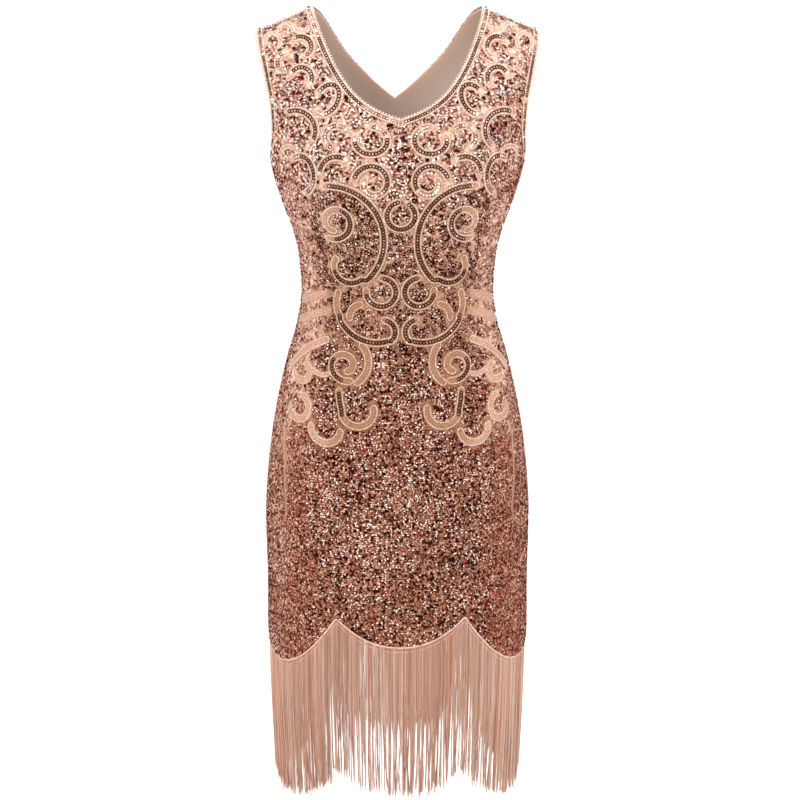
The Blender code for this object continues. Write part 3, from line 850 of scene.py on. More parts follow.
def cloth_grid(side, columns, hem):
    """Ring angles and levels of the grid, and which of its points lie on a seam."""
    u = np.linspace(-1.0, 1.0, columns)[None, :]
    shares = np.linspace(1.0, 0.0, UPPER_ROWS)[:, None] ** ROW_CROWDING
    upper_angle, upper_level = place_of(side, *upper_place(side, u, shares))
    edge = scalloped(HEM_SCALLOPS, u) if hem is None else np.full_like(u, hem)
    lower_level = blend(UNDERARM, edge, np.linspace(0.0, 1.0, LOWER_ROWS)[1:, None])
    lower_angle = half_angle(side, column_angle(u)) + np.zeros_like(lower_level)
    at_end = np.abs(u) == 1.0
    on_seam = ((shares == 1.0) & (np.abs(u) >= NECK_END)) | ((shares == 0.0) & at_end)
    angle = np.vstack([upper_angle, lower_angle])
    level = np.vstack([upper_level, lower_level])
    return angle, level, np.vstack([on_seam, np.repeat(at_end, LOWER_ROWS - 1, axis=0)])


def cloth_sheet(name, side, columns, depth, wall, finishes, slot, hem=None):
    """Thin closed shell of one half, at a depth inside the cloth, and its outer face."""
    angle, level, on_seam = cloth_grid(side, columns, hem)
    face, out = cloth_point(angle, level), cloth_normal(angle, level)
    out = np.where(on_seam[..., None], unit(out * np.array([1.0, 0.0, 1.0])), out)
    number = np.arange(angle.size).reshape(angle.shape)
    rim = np.concatenate([number[0], number[1:, -1], number[-1, -2::-1], number[-2:0:-1, 0]])
    after, back = np.roll(rim, -1), angle.size
    sides = grid_faces(*angle.shape)
    walls = np.stack([rim, rim + back, after + back, after], axis=1)
    faces = np.concatenate([sides, back + sides[:, ::-1], walls])
    if side == BACK:
        faces = faces[:, ::-1]
    outer, inner = face - out * depth, face - out * (depth + wall)
    piece = make_piece(name, [outer, inner], faces, finishes[0], slot)
    piece.data.materials.append(bpy.data.materials[finishes[1]])
    inside = np.repeat([0, 1, 0], [len(sides), len(sides), len(walls)])
    piece.data.polygons.foreach_set("material_index", inside.astype(np.int32))
    # painted shade on the net, lifted on the shoulders and at the bodice's sides
    paint(piece, "pale", np.tile(net_out_of_painted_shade(half_angle(side, angle), face[..., 2]).ravel(), 2))
    # facing along the neck edge, partly a real facing and partly painted light on the lining's top
    from_neck = gap_to(face.reshape(-1, 3), edge_path(side, "neck")[0])
    paint(piece, "facing", np.tile(1.0 - smooth_share(from_neck, 0.0, FACING_WIDTH), 2))
    return piece, Ground(outer.reshape(-1, 3), sides)


# ---- trims on the cloth

def small_ball():
    """Points and faces of an icosahedron of radius 1."""
    golden = (1.0 + 5.0 ** 0.5) / 2.0
    corners = []
    for a, b in product((-1.0, 1.0), (-golden, golden)):
        corners += [(0.0, a, b), (a, b, 0.0), (b, 0.0, a)]
    points = unit(np.array(corners))
    close = points @ points.T > 0.4
    faces = []
    for i, j, k in combinations(range(12), 3):
        if close[i, j] and close[j, k] and close[i, k]:
            faces.append((i, j, k) if np.linalg.det(points[[i, j, k]]) > 0.0 else (i, k, j))
    return points, np.array(faces)


def circle(corners, height):
    """Points round a circle of radius 1."""
    turn = np.arange(corners) * 2.0 * np.pi / corners
    return np.stack([np.cos(turn), np.sin(turn), np.full(corners, height)], axis=1)


def ring_sequin():
    """Points and faces of a sequin with a hole, and which faces are its rim."""
    n = RING_CORNERS
    k = np.arange(n)
    after = np.roll(k, -1)
    middle = np.full(n, 2 * n)
    faces = np.array([[k, after, n + after], [k, n + after, n + k], [n + k, n + after, middle]])
    hole = HOLE_SHARE * circle(n, 0.0)
    points = np.vstack([circle(n, RIM_HEIGHT), hole, [[0.0, 0.0, -0.05]]])
    return points, faces.transpose(0, 2, 1).reshape(-1, 3), np.repeat([True, True, False], n)


def lay_frames(direction, out):
    """Axes of things laid on the cloth: along, across and out."""
    across = unit(np.cross(out, direction))
    return np.stack([unit(np.cross(across, out)), across, out], axis=1)


def joined(lines):
    """Centres, directions, normals and so on of several lines as one."""
    return [np.concatenate(column) for column in zip(*lines)]


def make_beads(name, lines, radius, slot, finish="cream_beads"):
    """Beads threaded along lines, each given as centres, directions and normals."""
    points, faces = small_ball()
    centres, direction, out = joined(lines)
    frames = lay_frames(direction, out) * np.reshape(radius, (-1, 1, 1))
    copies = joined_copies(points * np.array(BEAD_SHAPE), faces, centres, frames)
    make_piece(name, *copies, finish, slot)


def ringed_sequins(name, centres, frames, rims, holes, slot):
    """Sequins with a hole, by the tones of their rims and their holes."""
    points, faces, on_rim = ring_sequin()
    copies = joined_copies(points, faces, centres, frames)
    piece = make_piece(name, *copies, "rose_sequins", slot)
    tone = np.where(on_rim, rims[:, None], holes[:, None])
    paint(piece, "tone", tone, "FACE")
    paint(piece, "red", np.zeros(tone.size), "FACE")


def make_chain(name, lines, radius, slot, rng):
    """Ringed sequins, dark-rimmed or pale, that overlap like scales along lines; a few with a painted
    flash of light.
    """
    centres, direction, out, pale = joined(lines)
    count = len(centres)
    tilt = rng.normal(0.20, 0.05, (count, 1))
    frames = radius * lay_frames(direction, unit(out + direction * tilt))
    rims = np.where(pale, rng.choice([0.25, 0.45, 0.60, 0.80], count), 0.0)
    # a few sequins get a painted flash of light in their holes
    painted_flash = rng.random(count) < 0.04
    holes = rng.uniform(0.34, 0.60, count) + 0.15 * smooth_share(centres[:, 2], -0.30, -0.10)
    holes = np.where(pale | painted_flash, rng.uniform(0.66, 1.0, count), holes)
    ringed_sequins(name, centres, frames, rims, holes, slot)


def edge_path(side, hole):
    """Dense 3-D path along an edge, and the centre of the hole beside it."""
    if hole == "neck":
        share = np.linspace(-1.0, 1.0, 301)
        x = np.sign(share) * NECK_X[side](np.abs(share))
        z = NECK_Z[side](np.abs(share))
        centre = np.array([0.0, 0.0, 0.02])
    else:
        share = np.linspace(0.0, 1.0, 151)
        x = HANDS[hole] * ARMHOLE_X(share)
        z = ARMHOLE_Z(share)
        centre = np.array([HANDS[hole] * 0.20, 0.0, -0.09])
    return cloth_point(*place_of(side, x, z)), centre


def edge_line(side, ground, hole, inset, pitch, lift):
    """Centres, directions and normals of things at an inset from an edge."""
    path, centre = edge_path(side, hole)
    spots, direction = resampled(path, pitch)
    _, out = ground.drop(spots)
    inward = unit(np.cross(out, direction))
    away = (spots - centre) * np.array([1.0, 0.0, 1.0])
    inward *= np.sign(np.sum(inward * away, axis=1, keepdims=True))
    if inset <= 0.0:
        return spots + inward * inset + out * lift, direction, out
    feet, out = ground.drop(spots + inward * inset, lift)
    return feet, unit(np.gradient(feet, axis=0)), out


def make_tape(where, hole, line_at):
    """Net tape of an edging, which stands for the edging's solid."""
    node = f"neck_edging_{where}" if hole == "neck" else f"armhole_edging_{where}_{hole}"
    lines = []
    for across, height in EDGE_SECTION:
        lines.append(line_at(across * EDGING_WIDTH, EDGING_STEP, height * EDGING_THICKNESS)[0])
    tape = make_strip(f"tape_{node}", lines, "band_mesh", "beaded_edging")
    paint_trim(tape)
    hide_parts(node)


def within(value, limits):
    return (value > limits[0]) & (value < limits[1])


def edge_chain(hole, line_at, rng):
    """Line of an edging's sequins, and which of them are pale."""
    share, pale_above = NECK_CHAIN if hole == "neck" else ARM_CHAIN
    lift = EDGING_THICKNESS + EDGE_CHAIN_LIFT
    line = line_at(share * EDGING_WIDTH, EDGE_CHAIN_PITCH, lift)
    x, y, z = line[0].T
    pale = (y < 0.0) & within(x, PALE_NECK_X) & within(z, PALE_NECK_Z) | (z > pale_above)
    if hole != "neck":
        pale |= (rng.random(len(z)) < PALE_LINKS) & (z < WORN_ARM_TOP)
    return (*line, pale)


def tooth_line(line_at, rng):
    """Line and radii of the uneven small beads that stand along the back of the neck."""
    spots, direction, out = line_at(-TOOTH_OVERHANG, TOOTH_PITCH, 0.0)
    spots = spots + rng.normal(0.0, TOOTH_JITTER, (len(spots), 3))
    radii = TOOTH_RADIUS * rng.uniform(0.7, 1.2, len(spots))
    radii *= blend(0.45, 1.0, smooth_share(spots[:, 2], -0.085, -0.050))
    return (spots, direction, out), radii


def seam_line(side, hand):
    """Centres, directions and normals of the beads along one shoulder seam."""
    x = hand * np.linspace(NECK_HALF_WIDTH, ARMHOLE_X(1.0), 60)
    path = cloth_point(*place_of(side, x, seam_height(x) - SEAM_INSET))
    spots, direction = resampled(path, SEAM_BEAD_PITCH)
    up = np.tile([0.0, 0.0, 1.0], (len(spots), 1))
    return spots + SEAM_BEAD_LIFT * up, direction, up


def make_edgings(grounds, rng):
    """Tapes along the neck and the armholes with their beads, sequins and picots."""
    beads, chains, picots = [], [], []
    for where, hole in product(HALVES, HOLES):
        line_at = partial(edge_line, HALVES[where], grounds[where], hole)
        make_tape(where, hole, line_at)
        for inset in (EDGE_BEAD_RADIUS, EDGING_WIDTH - EDGE_BEAD_RADIUS):
            beads.append(line_at(inset, EDGE_BEAD_PITCH, EDGING_THICKNESS + BEAD_LIFT))
        chains.append(edge_chain(hole, line_at, rng))
        if (where, hole) == ("back", "neck"):
            teeth, tooth_radii = tooth_line(line_at, rng)
        else:
            picots.append(line_at(-PICOT_OVERHANG, PICOT_PITCH, PICOT_LIFT))
    seams = [seam_line(*ends) for ends in product(HALVES.values(), HANDS.values())]
    make_beads("edging_beads", beads, EDGE_BEAD_RADIUS, "beaded_edging")
    make_beads("edging_picots", picots, PICOT_RADIUS, "beaded_edging")
    make_beads("seam_beads", seams, SEAM_BEAD_RADIUS, "beaded_edging")
    make_chain("edging_sequins", chains, EDGE_CHAIN_RADIUS, "beaded_edging", rng)
    make_beads("neck_teeth", [teeth], tooth_radii, "beaded_edging", "neck_beads")


def arc_points(row):
    """x and z along one row of the table of scrolls."""
    length = 0.5 * (row.radius + row.end_radius) * MILLIMETRE * np.radians(abs(row.turn))
    share = np.linspace(0.0, 1.0, int(np.ceil(length / BAND_STEP)) + 1)
    angle = np.radians(row.start + row.turn * share)
    radius = blend(row.radius, row.end_radius, share)
    across, along = radius * np.cos(angle), radius * row.stretch * np.sin(angle)
    sine, cosine = np.sin(np.radians(row.tilt)), np.cos(np.radians(row.tilt))
    x = row.x + across * cosine - along * sine
    z = row.z + across * sine + along * cosine
    return np.stack([x, z], axis=1) * MILLIMETRE


def scroll_path(name):
    """x and z along all rows of one band of the left half."""
    arcs = [arc_points(row) for row in SCROLLS if row.name == name]
    return np.vstack([arcs[0], *(arc[1:] for arc in arcs[1:])])


def make_band(name, ground, path, width):
    """Raised net band with round ends, its centre line and its beads' outline."""
    spots, direction = resampled(cloth_point(*place_of(FRONT, *path.T)), BAND_STEP)
    feet, out = ground.drop(spots)
    across = unit(np.cross(out, direction))
    run = np.arange(len(feet)) * BAND_STEP
    cap = 0.5 * width
    from_cap = np.clip(1.0 - np.minimum(run, run[-1] - run) / cap, 0.0, 1.0)
    reach = cap * np.sqrt(np.clip(1.0 - from_cap ** 2, 0.02, 1.0))
    wide = across * (reach + BAND_MARGIN)[:, None]
    lines = []
    for share, height in BAND_SECTION:
        lines.append(ground.drop(feet + wide * share, 0.0001 + height * BAND_THICKNESS)[0])
    piece = make_strip(name, lines, "band_mesh", "scroll_beads")
    paint_trim(piece)
    inset = across * np.maximum(reach - BEAD_RADIUS, 0.0)[:, None]
    return piece, feet, np.vstack([feet + inset, (feet - inset)[::-1]])


def band_chain(name, spots, direction, out):
    """The shown part of a band's chain, and which of its sequins are pale."""
    start, end = CHAINS.get(name, NO_CHAIN)
    share = np.linspace(0.0, 1.0, len(spots))
    dark = (share >= start) & (share <= end)
    shown = dark | (within(share, (0.04, 0.96)) & (spots[:, 2] > PALE_ABOVE))
    return spots[shown], direction[shown], out[shown], ~dark[shown]


Bands = namedtuple("Bands", "points reaches loops")
NO_BANDS = Bands(np.array([[0.0, 0.0, 9.0]]), np.zeros(1), [])


def make_scrolls(ground, rng):
    """All bands of the front, with bead outlines and chains of sequins."""
    beads, chains, lines, reaches, loops = [], [], [], [], []
    for name in dict.fromkeys(row.name for row in SCROLLS):
        path, width = scroll_path(name), WIDTHS.get(name, BAND_WIDTH)
        nodes = {f"{name}_{where}": hand for where, hand in HANDS.items()}
        if name == MIDDLE_SCROLL:
            nodes = {name: HANDS["left"]}
        for node, hand in nodes.items():
            mirrored = path * np.array([-hand, 1.0])
            piece, feet, outline = make_band(f"band_{node}", ground, mirrored, width)
            if name not in ADDED_SCROLLS:
                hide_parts(node)
            if name not in UNBEADED_SCROLLS:
                beads.append(ground.lay(outline, BEAD_PITCH, BAND_THICKNESS + BEAD_LIFT, closed=True))
            if width == BAND_WIDTH:
                chain = ground.lay(feet, CHAIN_PITCH, BAND_THICKNESS + CHAIN_LIFT)
                chains.append(band_chain(name, *chain))
            lines.append(feet)
            reaches.append(np.full(len(feet), 0.5 * width + BAND_MARGIN))
            loops.append(feet[::3, ::2])
    make_beads("scroll_beads", beads, BEAD_RADIUS, "scroll_beads")
    make_chain("scroll_sequins", chains, CHAIN_RADIUS, "scroll_beads", rng)
    return Bands(np.concatenate(lines), np.concatenate(reaches), loops)


def hem_cord(name, side, rise, radius):
    """Cord along the scalloped hem, its middle at a height above the hem."""
    u = np.linspace(-0.998, 0.998, PIPING_COLUMNS)
    place = half_angle(side, column_angle(u)), scalloped(HEM_SCALLOPS, u) + rise
    centre, out = cloth_point(*place), cloth_normal(*place)
    up = unit(np.cross(np.gradient(centre, axis=0), out))
    lines = []
    for turn in np.linspace(0.0, 2.0 * np.pi, 8, endpoint=False):
        lines.append(centre + radius * (out * (0.8 + np.cos(turn)) + up * np.sin(turn)))
    return make_strip(name, lines, "pink_satin", "satin_cord")


def make_piping(where):
    """Satin cord of the hem and the fine cord that holds the fringe's heading."""
    side = HALVES[where]
    cord = hem_cord(f"hem_cord_{where}", side, 1.3 * PIPING_RADIUS, PIPING_RADIUS)
    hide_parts(f"hem_piping_{where}")
    hem_cord(f"heading_cord_{where}", side, -STITCH_DROP, STITCH_RADIUS)


# ---- field sequins

def cup_sequin():
    """Points and faces of a cupped, faceted sequin, its last point the middle."""
    k = np.arange(FACETS)
    faces = np.stack([k, np.roll(k, -1), np.full(FACETS, FACETS)], axis=1)
    return np.vstack([circle(FACETS, CUP_DEPTH), [[0.0, 0.0, 0.0]]]), faces


def evenly(values, points, pitch, first, last):
    """Values at equal steps along points, clear of the ends by shares of a step."""
    run = run_along(points)
    return np.interp(np.arange(first * pitch, run[-1] - last * pitch, pitch), run, values)


def row_levels():
    """Levels of the rows, evenly spaced along a meridian through the shoulder."""
    level = np.linspace(SHOULDER_TOP, -0.80, 4000)
    meridian = smooth_point(np.full_like(level, np.radians(50.0)), level)
    return evenly(level, meridian, SEQUIN_ROW, 0.5, 0.0)


def row_angles(level, shift):
    """Ring angles at equal steps round one ring."""
    angle = np.linspace(-np.pi, np.pi, 721)
    ring = smooth_point(angle, np.full_like(angle, level))
    return evenly(angle, ring, SEQUIN_PITCH, shift, 0.5)


def inside_edges(side, angle, level):
    """Which places lie on the cloth, clear of the hem."""
    points = smooth_point(angle, level)
    x, z = np.abs(points[:, 0]), points[:, 2]
    share = np.linspace(0.0, 1.0, 200)
    off_neck = x > NECK_HALF_WIDTH
    below_neck = off_neck | (z < np.interp(x, NECK_X[side](share), NECK_Z[side](share)))
    within_arms = (z < UNDERARM) | (x < np.interp(z, ARMHOLE_Z(share), ARMHOLE_X(share)))
    below_seam = (x < NECK_HALF_WIDTH) | (z < seam_height(x) - SEAM_CLEAR)
    columns = np.linspace(-1.0, 1.0, 401)
    column = np.interp(half_angle(side, angle), column_angle(columns), columns)
    hem = scalloped(HEM_SCALLOPS, column)
    return below_neck & within_arms & below_seam & (level > hem + 2.2 * PIPING_RADIUS)


def field_places(side, rng):
    """Ring angles and levels of one half's rows of sequins, looser above the waist."""
    angles, levels = [], []
    for row, level in enumerate(row_levels()):
        ring = row_angles(level, 0.25 + 0.5 * (row % 2))
        ring = ring[(np.abs(ring) <= QUARTER) == (side == FRONT)]
        angles.append(ring)
        levels.append(np.full_like(ring, level))
    angle, level = np.concatenate(angles), np.concatenate(levels)
    loose = smooth_share(level, -0.26, -0.16)
    angle += rng.normal(0.0, 1.0, len(angle)) * blend(*ANGLE_JITTER, loose)
    level += rng.normal(0.0, 1.0, len(level)) * blend(*LEVEL_JITTER, loose)
    level = np.minimum(level, SHOULDER_TOP - 0.0002)
    keep = inside_edges(side, angle, level)
    return angle[keep], level[keep]


def soft_noise(points, size, rng):
    """Smooth noise of about unit spread, with patches of a given size."""
    total = np.zeros(len(points))
    for _ in range(10):
        direction = unit(rng.normal(size=3)) * 2.0 * np.pi / (size * rng.uniform(0.6, 1.8))
        total += np.sin(points @ direction + rng.uniform(0.0, 2.0 * np.pi))
    return total / 5.0 ** 0.5


def inside_loops(points, loops):
    """Which points lie inside any loop, seen from the front."""
    inside = np.zeros(len(points), dtype=bool)
    x, z = points[:, 0, None], points[:, 2, None]
    for loop in loops:
        x1, z1 = loop.T
        x2, z2 = np.roll(loop, -1, axis=0).T
        rise = np.where(z2 == z1, 1.0, z2 - z1)
        crossings = ((z1 > z) != (z2 > z)) & (x < x1 + (z - z1) * (x2 - x1) / rise)
        inside |= crossings.sum(axis=1) % 2 == 1
    return inside


def kept_share(points, around, gap, enclosed, rng):
    """Share of the sequins sewn: fewer at the bodice's sides and beside bands."""
    z = points[:, 2]
    share = 1.0 - 0.45 * bare_side(around, z)
    share *= 1.0 - waist_share(z) * (0.20 + 0.18 * soft_noise(points, 0.026, rng))
    for row in SPARSE_ZONES:
        share *= 1.0 - row.fewer * smooth_share(z, row.start, row.end)
    beside = (gap < SPARSE_REACH) & ~enclosed
    return share * np.where(beside, blend(0.80, 1.00, smooth_share(z, -0.28, -0.16)), 1.0)


def sewn_places(side, bands, edges, rng):
    """Places with a sequin: angles, levels, points, half angles, and if in a loop."""
    angle, level = field_places(side, rng)
    points, around = cloth_point(angle, level), half_angle(side, angle)
    gap = gap_to(points, bands.points, bands.reaches)
    enclosed = inside_loops(points, bands.loops)
    keep = (gap_to(points, edges, EDGING_WIDTH) > EDGE_CLEAR) & (gap > BAND_CLEAR)
    keep &= rng.random(len(points)) < kept_share(points, around, gap, enclosed, rng)
    return [column[keep] for column in (angle, level, points, around, enclosed)]


def sequin_frames(angle, level, points, around, rng):
    """Centres of the sequins above the cloth, and their axes, leaning at random."""
    out = cloth_normal(angle, level)
    down = unit(cloth_point(angle, level - 0.0008) - points)
    across = unit(np.cross(out, down))
    at_side = aside(around, 58.0, 80.0)
    near_seam = smooth_share(points[:, 2] - seam_height(points[:, 0]), -0.0045, -0.0015)
    tilt = blend(blend(SEQUIN_TILT, SIDE_TILT, at_side), SEAM_TILT, near_seam)
    lift = blend(blend(SEQUIN_LIFT, SIDE_LIFT, at_side), SEAM_LIFT, near_seam)
    lean = rng.normal(0.0, 1.0, (2, len(points), 1)) * tilt[:, None]
    out = unit(out + down * (lean[0] - SEQUIN_HANG) + across * lean[1])
    size = SEQUIN_RADIUS * blend(1.0, UPPER_SIZE, smooth_share(points[:, 2], -0.24, -0.14))
    frames = lay_frames(np.cross(down, out), out) * size[:, None, None]
    return points + out * lift[:, None], frames


def field_zones(points, around, enclosed, rng):
    """How far each place belongs to the zones that change its sequin's tones."""
    z = points[:, 2]
    pale = smooth_share(z, -0.28, -0.05)
    return {
        "pale": pale,
        "loops": pale * enclosed,
        "top": smooth_share(z, -0.030, -0.008),
        "bodice": smooth_share(z, -0.48, -0.38),
        "waist": waist_share(z),
        "above_hem": smooth_share(z, -0.70, -0.58),
        "bare": bare_side(around, z),
        "patch": soft_noise(points, 0.070, rng),
        "fine": soft_noise(points, 0.014, rng),
    }


def weighed(zones, base, **weights):
    """A base value plus each zone's share by its weight."""
    return base + sum(weight * zones[name] for name, weight in weights.items())


def picked(rng, chance, often, seldom):
    """Numbers from one range by a chance at each place, and else from another."""
    chosen = rng.random(len(chance)) < chance
    return np.where(chosen, rng.uniform(*often, len(chance)), rng.uniform(*seldom, len(chance)))


def sequin_tones_and_painted_light(zones, rng):
    """Tone of each sequin's cup, and the strength of its facets' painted highlight and painted shade."""
    count = len(zones["pale"])
    # near the shoulder seam (top) the cups are painted lighter, as painted light on the sequins' tops
    cup = weighed(zones, 0.465, fine=0.03, bodice=0.085, pale=0.085, top=0.16, bare=0.05)
    cup = cup + rng.normal(0.0, 0.06, count)
    # dark cups are painted dark reflections, standing for sequins turned away from the light
    dark = weighed(zones, 0.19, pale=-0.07, waist=0.02, patch=-0.04, bare=-0.12, loops=0.12)
    dark = rng.random(count) < np.clip(dark, 0.02, 0.5)
    cup = np.where(dark, rng.normal(0.05, 0.05, count), cup)
    # share of sequins with a strong painted highlight, more on the shoulders and chest
    painted_glint_share = weighed(zones, 0.23, above_hem=0.20, pale=0.43, waist=-0.20, patch=0.07)
    painted_glint = picked(rng, np.clip(painted_glint_share, 0.05, 0.9), (0.30, 0.90), (0.0, 0.15))
    painted_glint *= np.where(dark, 0.5, 1.0)
    # share of sequins with strong painted shade, less of it near the shoulder seam
    painted_shade_share = weighed(zones, 0.80, pale=-0.10, top=-0.30)
    return cup, painted_glint, picked(rng, painted_shade_share, (0.50, 0.95), (0.0, 0.15))


def facet_tones_with_painted_light(points, around, zones, rng):
    """Tone of each corner of each sequin's facets.

    A sequin has a narrow facet with a painted highlight and darker ones across from it in painted
    shade, so it shows as two crescents. Paler ones, with more painted highlights, gather on the
    shoulders. At the skirt's sides they all look more alike, their painted light evened out.
    """
    cup, painted_glint, shade = (column[:, None] for column in sequin_tones_and_painted_light(zones, rng))
    # side of each sequin's painted highlight; its painted shade lies across from it
    painted_light_side = 0.9 + 0.5 * soft_noise(points, 0.030, rng) + rng.normal(0.0, 0.8, len(points))
    turn = (np.arange(FACETS) + 0.5) * 2.0 * np.pi / FACETS
    facing = np.cos(turn - painted_light_side[:, None])
    # painted highlight on the facets towards the painted light side, painted shade on those across
    rim = cup + painted_glint * np.clip(facing, 0.0, 1.0) ** PAINTED_GLINT_SHARPNESS
    rim = np.maximum(rim - shade * np.clip(-facing, 0.0, 1.0), 0.14 * zones["pale"][:, None])
    tone = np.stack([rim, rim, blend(cup, rim, 0.4)], axis=2)
    # at the skirt's sides the painted highlights and painted shade are evened out towards a lighter tone
    mean = 0.475 + 0.09 * aside(around, 46.0, 68.0)
    even = np.minimum(mean[:, None, None] + 0.72 * (tone - 0.42), 0.82)
    at_side = aside(around, 26.0, 56.0) * smooth_share(points[:, 2], -0.40, -0.50)
    return np.clip(blend(tone, even, at_side[:, None, None]), 0.0, 1.0)


def red_sequins(points, around, zones, rng):
    """Which sequins are red: more at the sides and in the shoulders' loops."""
    share = weighed(zones, 0.03, bare=0.34, pale=0.12, loops=0.22)
    share += 0.42 * aside(around, 26.0, 60.0)
    share += 0.14 * smooth_share(points[:, 2], -0.040, -0.012)
    share += 0.08 * soft_noise(points, 0.022, rng)
    return rng.random(len(points)) < np.clip(share, 0.0, 0.8)


def make_field(where, bands, edges, rng):
    """Sequins all over one half, in two pieces, and ringed ones at the front's waist."""
    angle, level, points, around, enclosed = sewn_places(HALVES[where], bands, edges, rng)
    centres, frames = sequin_frames(angle, level, points, around, rng)
    zones = field_zones(points, around, enclosed, rng)
    tone = facet_tones_with_painted_light(points, around, zones, rng)
    red = red_sequins(points, around, zones, rng)
    ringed = rng.random(len(points)) < RINGED_SHARE * zones["waist"]
    ringed &= (where == "front") & (np.abs(around) < np.radians(50.0))
    upper = points[:, 2] > SEQUIN_SPLIT
    shape, faces = cup_sequin()
    for part, mine in (("upper", upper & ~ringed), ("lower", ~upper & ~ringed)):
        copies = joined_copies(shape, faces, centres[mine], frames[mine])
        piece = make_piece(f"sequins_{where}_{part}", *copies, "rose_sequins", "sequinned_mesh")
        # the tone holds each facet's painted highlight and painted shade
        paint(piece, "tone", tone[mine], "CORNER")
        paint(piece, "red", np.repeat(red[mine], FACETS), "FACE")
    if ringed.any():
        count = np.count_nonzero(ringed)
        rims, holes = rng.uniform(0.0, 0.12, count), rng.uniform(0.40, 0.75, count)
        frames = frames[ringed] * (CHAIN_RADIUS / SEQUIN_RADIUS)
        name = f"sequins_{where}_ringed"
        ringed_sequins(name, centres[ringed], frames, rims, holes, "sequinned_mesh")


# ---- fringe

def sideways_wave(rng, count, turns, reach, share):
    """Waves of threads to either side, wider towards their tips."""
    phase = share * rng.uniform(4.0, turns, count) + rng.uniform(0.0, 6.3, count)
    return rng.normal(0.0, reach, count) * np.sin(phase) * share


def strand_paths(side, count, clumps, rng):
    """Points and normals along every thread, from the hem down, and its clump."""
    u = rng.uniform(-1.0, 1.0, count)
    u = np.sort(np.clip(u + FRINGE_BUNCHING * np.sin(11.0 * u + 2.0), -0.999, 0.999))
    clump = np.clip(((u + 1.0) * 0.5 * clumps).astype(int), 0, clumps - 1)
    clump_u = -1.0 + (clump + rng.uniform(0.25, 0.75, clumps)[clump]) * 2.0 / clumps
    gather = rng.uniform(0.30, 1.00, clumps)[clump] * rng.uniform(0.75, 1.05, count)
    gather *= rng.random(count) < 1.0 - LOOSE_THREADS
    tip = scalloped(FRINGE_SCALLOPS, u) + rng.normal(0.0, CLUMP_TIP_SPREAD, clumps)[clump]
    tip = np.maximum(tip + rng.normal(0.0, TIP_SPREAD, count), LOWEST_TIP)
    share = np.linspace(0.0, 1.0, STRAND_STATIONS)[:, None] ** STATION_CROWDING
    level = blend(scalloped(HEM_SCALLOPS, u) + 0.0006, tip, share)
    column = u + (clump_u - u) * gather * share ** 2.6
    column += sideways_wave(rng, count, 16.0, THREAD_WAVE, share)
    column += sideways_wave(rng, clumps, 14.0, CLUMP_WAVE, share)[:, clump] * share
    column += rng.normal(0.0, CLUMP_DRIFT, clumps)[clump] * share ** 2.4
    lift = rng.normal(0.0, 0.0007, count) + rng.normal(0.0, 0.0014, clumps)[clump] * share - 0.0006
    angle = half_angle(side, column_angle(np.clip(column, -1.0, 1.0)))
    out = slopes_cross(smooth_point, angle, level)
    return smooth_point(angle, level) + out * lift[..., None], out, clump


def make_fringe(where, rng):
    """Fine threads hanging from the hem in loose clumps."""
    count, clumps = STRANDS[where], CLUMPS[where]
    centre, out, clump = strand_paths(HALVES[where], count, clumps, rng)
    around = unit(np.cross(out, np.array([0.0, 0.0, 1.0])))
    radius = STRAND_RADIUS * np.linspace(1.0, 0.75, STRAND_STATIONS)[:, None, None]
    corners = []
    for turn in np.radians([90.0, 210.0, 330.0]):
        corners.append(centre + radius * (out * np.sin(turn) + around * np.cos(turn)))
    points = np.stack(corners, axis=2).transpose(1, 0, 2, 3)
    each = 3 * STRAND_STATIONS
    faces = grid_faces(STRAND_STATIONS, 3, closed=True) + each * np.arange(count)[:, None, None]
    name = f"threads_{where}"
    piece = make_piece(name, points, faces.reshape(-1, 4), "salmon_rayon", "fringe_strands")
    tone = 0.63 + rng.normal(0.0, 0.13, count) + rng.normal(0.0, 0.05, clumps)[clump]
    paint(piece, "tone", np.repeat(np.clip(tone, 0.0, 1.0), each))
    rose = (rng.random(clumps) ** 3)[clump] + 0.32 * np.maximum(soft_noise(centre[0], 0.050, rng), 0.0)
    rose = np.clip(rose, 0.0, 1.0) * rng.uniform(0.2, 1.0, count)
    paint(piece, "rose", np.repeat(rose, each))
    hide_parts(f"fringe_{where}")


# ---- the studio

CAMERA_PLACE = (-0.08833, -2.52942, 0.07963)
CAMERA_TARGET = (0.0, 0.0, -0.458345)
CAMERA_LENS = 95.85
CAMERA_SHIFT = 0.00325
FLOOR_HEIGHT = -1.36
FLOOR_REACH = 120.0
WORLD_STRENGTH = 1.04

SOFTBOXES = table(
    "name place size power",
    ("key", (-1.5, -2.4, 0.9), 1.3, 36.0),
    ("fill", (1.8, -2.0, 0.2), 1.4, 20.0),
    ("top", (0.2, -0.6, 1.7), 1.2, 14.0),
    ("back", (0.4, 2.2, 0.6), 1.6, 22.0),
)


def add_aimed(name, data, place):
    """Camera or lamp at a place, aimed at the dress."""
    thing = bpy.data.objects.new(name, data)
    thing.location = place
    line = Vector(CAMERA_TARGET) - thing.location
    thing.rotation_euler = line.to_track_quat("-Z", "Y").to_euler()
    bpy.context.scene.collection.objects.link(thing)
    return thing


def add_camera():
    data = bpy.data.cameras.new("camera")
    data.sensor_width = 36.0
    data.lens = CAMERA_LENS
    data.shift_x = CAMERA_SHIFT
    bpy.context.scene.camera = add_aimed("camera", data, CAMERA_PLACE)


def add_softboxes():
    for row in SOFTBOXES:
        data = bpy.data.lights.new(row.name, "AREA")
        data.size = row.size
        data.energy = row.power
        add_aimed(row.name, data, row.place)


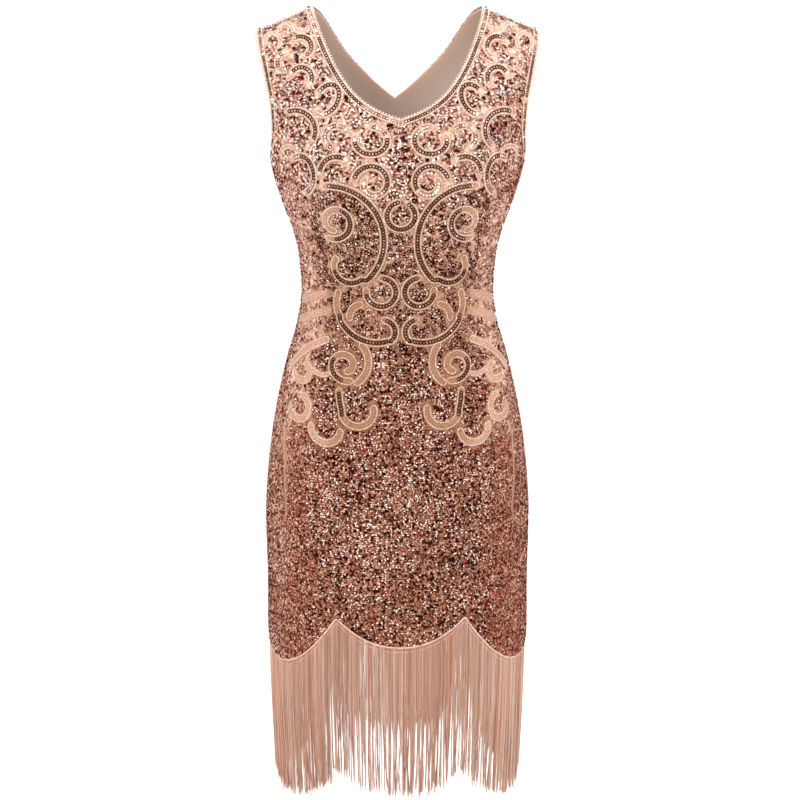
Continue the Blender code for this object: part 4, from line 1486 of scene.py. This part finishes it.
def add_floor():
    """Floor wide enough to fill the view."""
    mesh = bpy.data.meshes.new("floor")
    ends = ((-1, -1), (1, -1), (1, 1), (-1, 1))
    corners = [(x * FLOOR_REACH, y * FLOOR_REACH, FLOOR_HEIGHT) for x, y in ends]
    mesh.from_pydata(corners, [], [(0, 1, 2, 3)])
    mesh.materials.append(bpy.data.materials["pale_floor"])
    floor = bpy.data.objects.new("floor", mesh)
    bpy.context.scene.collection.objects.link(floor)


def light_world():
    """Even white surroundings."""
    world = bpy.data.worlds.new("studio")
    world.use_nodes = True
    background = world.node_tree.nodes["Background"]
    background.inputs["Color"].default_value = (1.0, 1.0, 1.0, 1.0)
    background.inputs["Strength"].default_value = WORLD_STRENGTH
    bpy.context.scene.world = world
    bpy.context.scene.view_settings.view_transform = "Standard"


def make_dress():
    """Every piece of the dress; gives its sheets of cloth."""
    rng = np.random.default_rng(SEED)
    grounds, sheets = {}, {}
    faces = ("peach_mesh", "taupe_lining")
    for where, side in HALVES.items():
        name = f"cloth_{where}"
        made = cloth_sheet(name, side, CLOTH_COLUMNS, 0.0, CLOTH_WALL, faces, "sequinned_mesh")
        sheets[where], grounds[where] = made
        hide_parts(f"{where}_panel")
    lining, _ = cloth_sheet(
        "lining_back", BACK, LINING_COLUMNS, LINING_DEPTH, LINING_WALL,
        ("taupe_lining", "taupe_lining"), "lining", LINING_HEM,
    )
    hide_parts("back_lining")
    make_edgings(grounds, rng)
    bands = {"front": make_scrolls(grounds["front"], rng), "back": NO_BANDS}
    for where, side in HALVES.items():
        make_piping(where)
        edges = np.concatenate([edge_path(side, hole)[0] for hole in HOLES])
        make_field(where, bands[where], edges, rng)
        make_fringe(where, rng)
    return sheets, lining


def declare_cloth(sheets, lining, before):
    """Gather the names of the cloth's sheets; nothing is done with them."""
    cloth = {lining.name, *(sheet.name for sheet in sheets.values())}


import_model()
for make_finish in FINISHES:
    make_finish()
add_camera()
add_softboxes()
add_floor()
light_world()
before = {thing.name for thing in bpy.data.objects}
declare_cloth(*make_dress(), before)
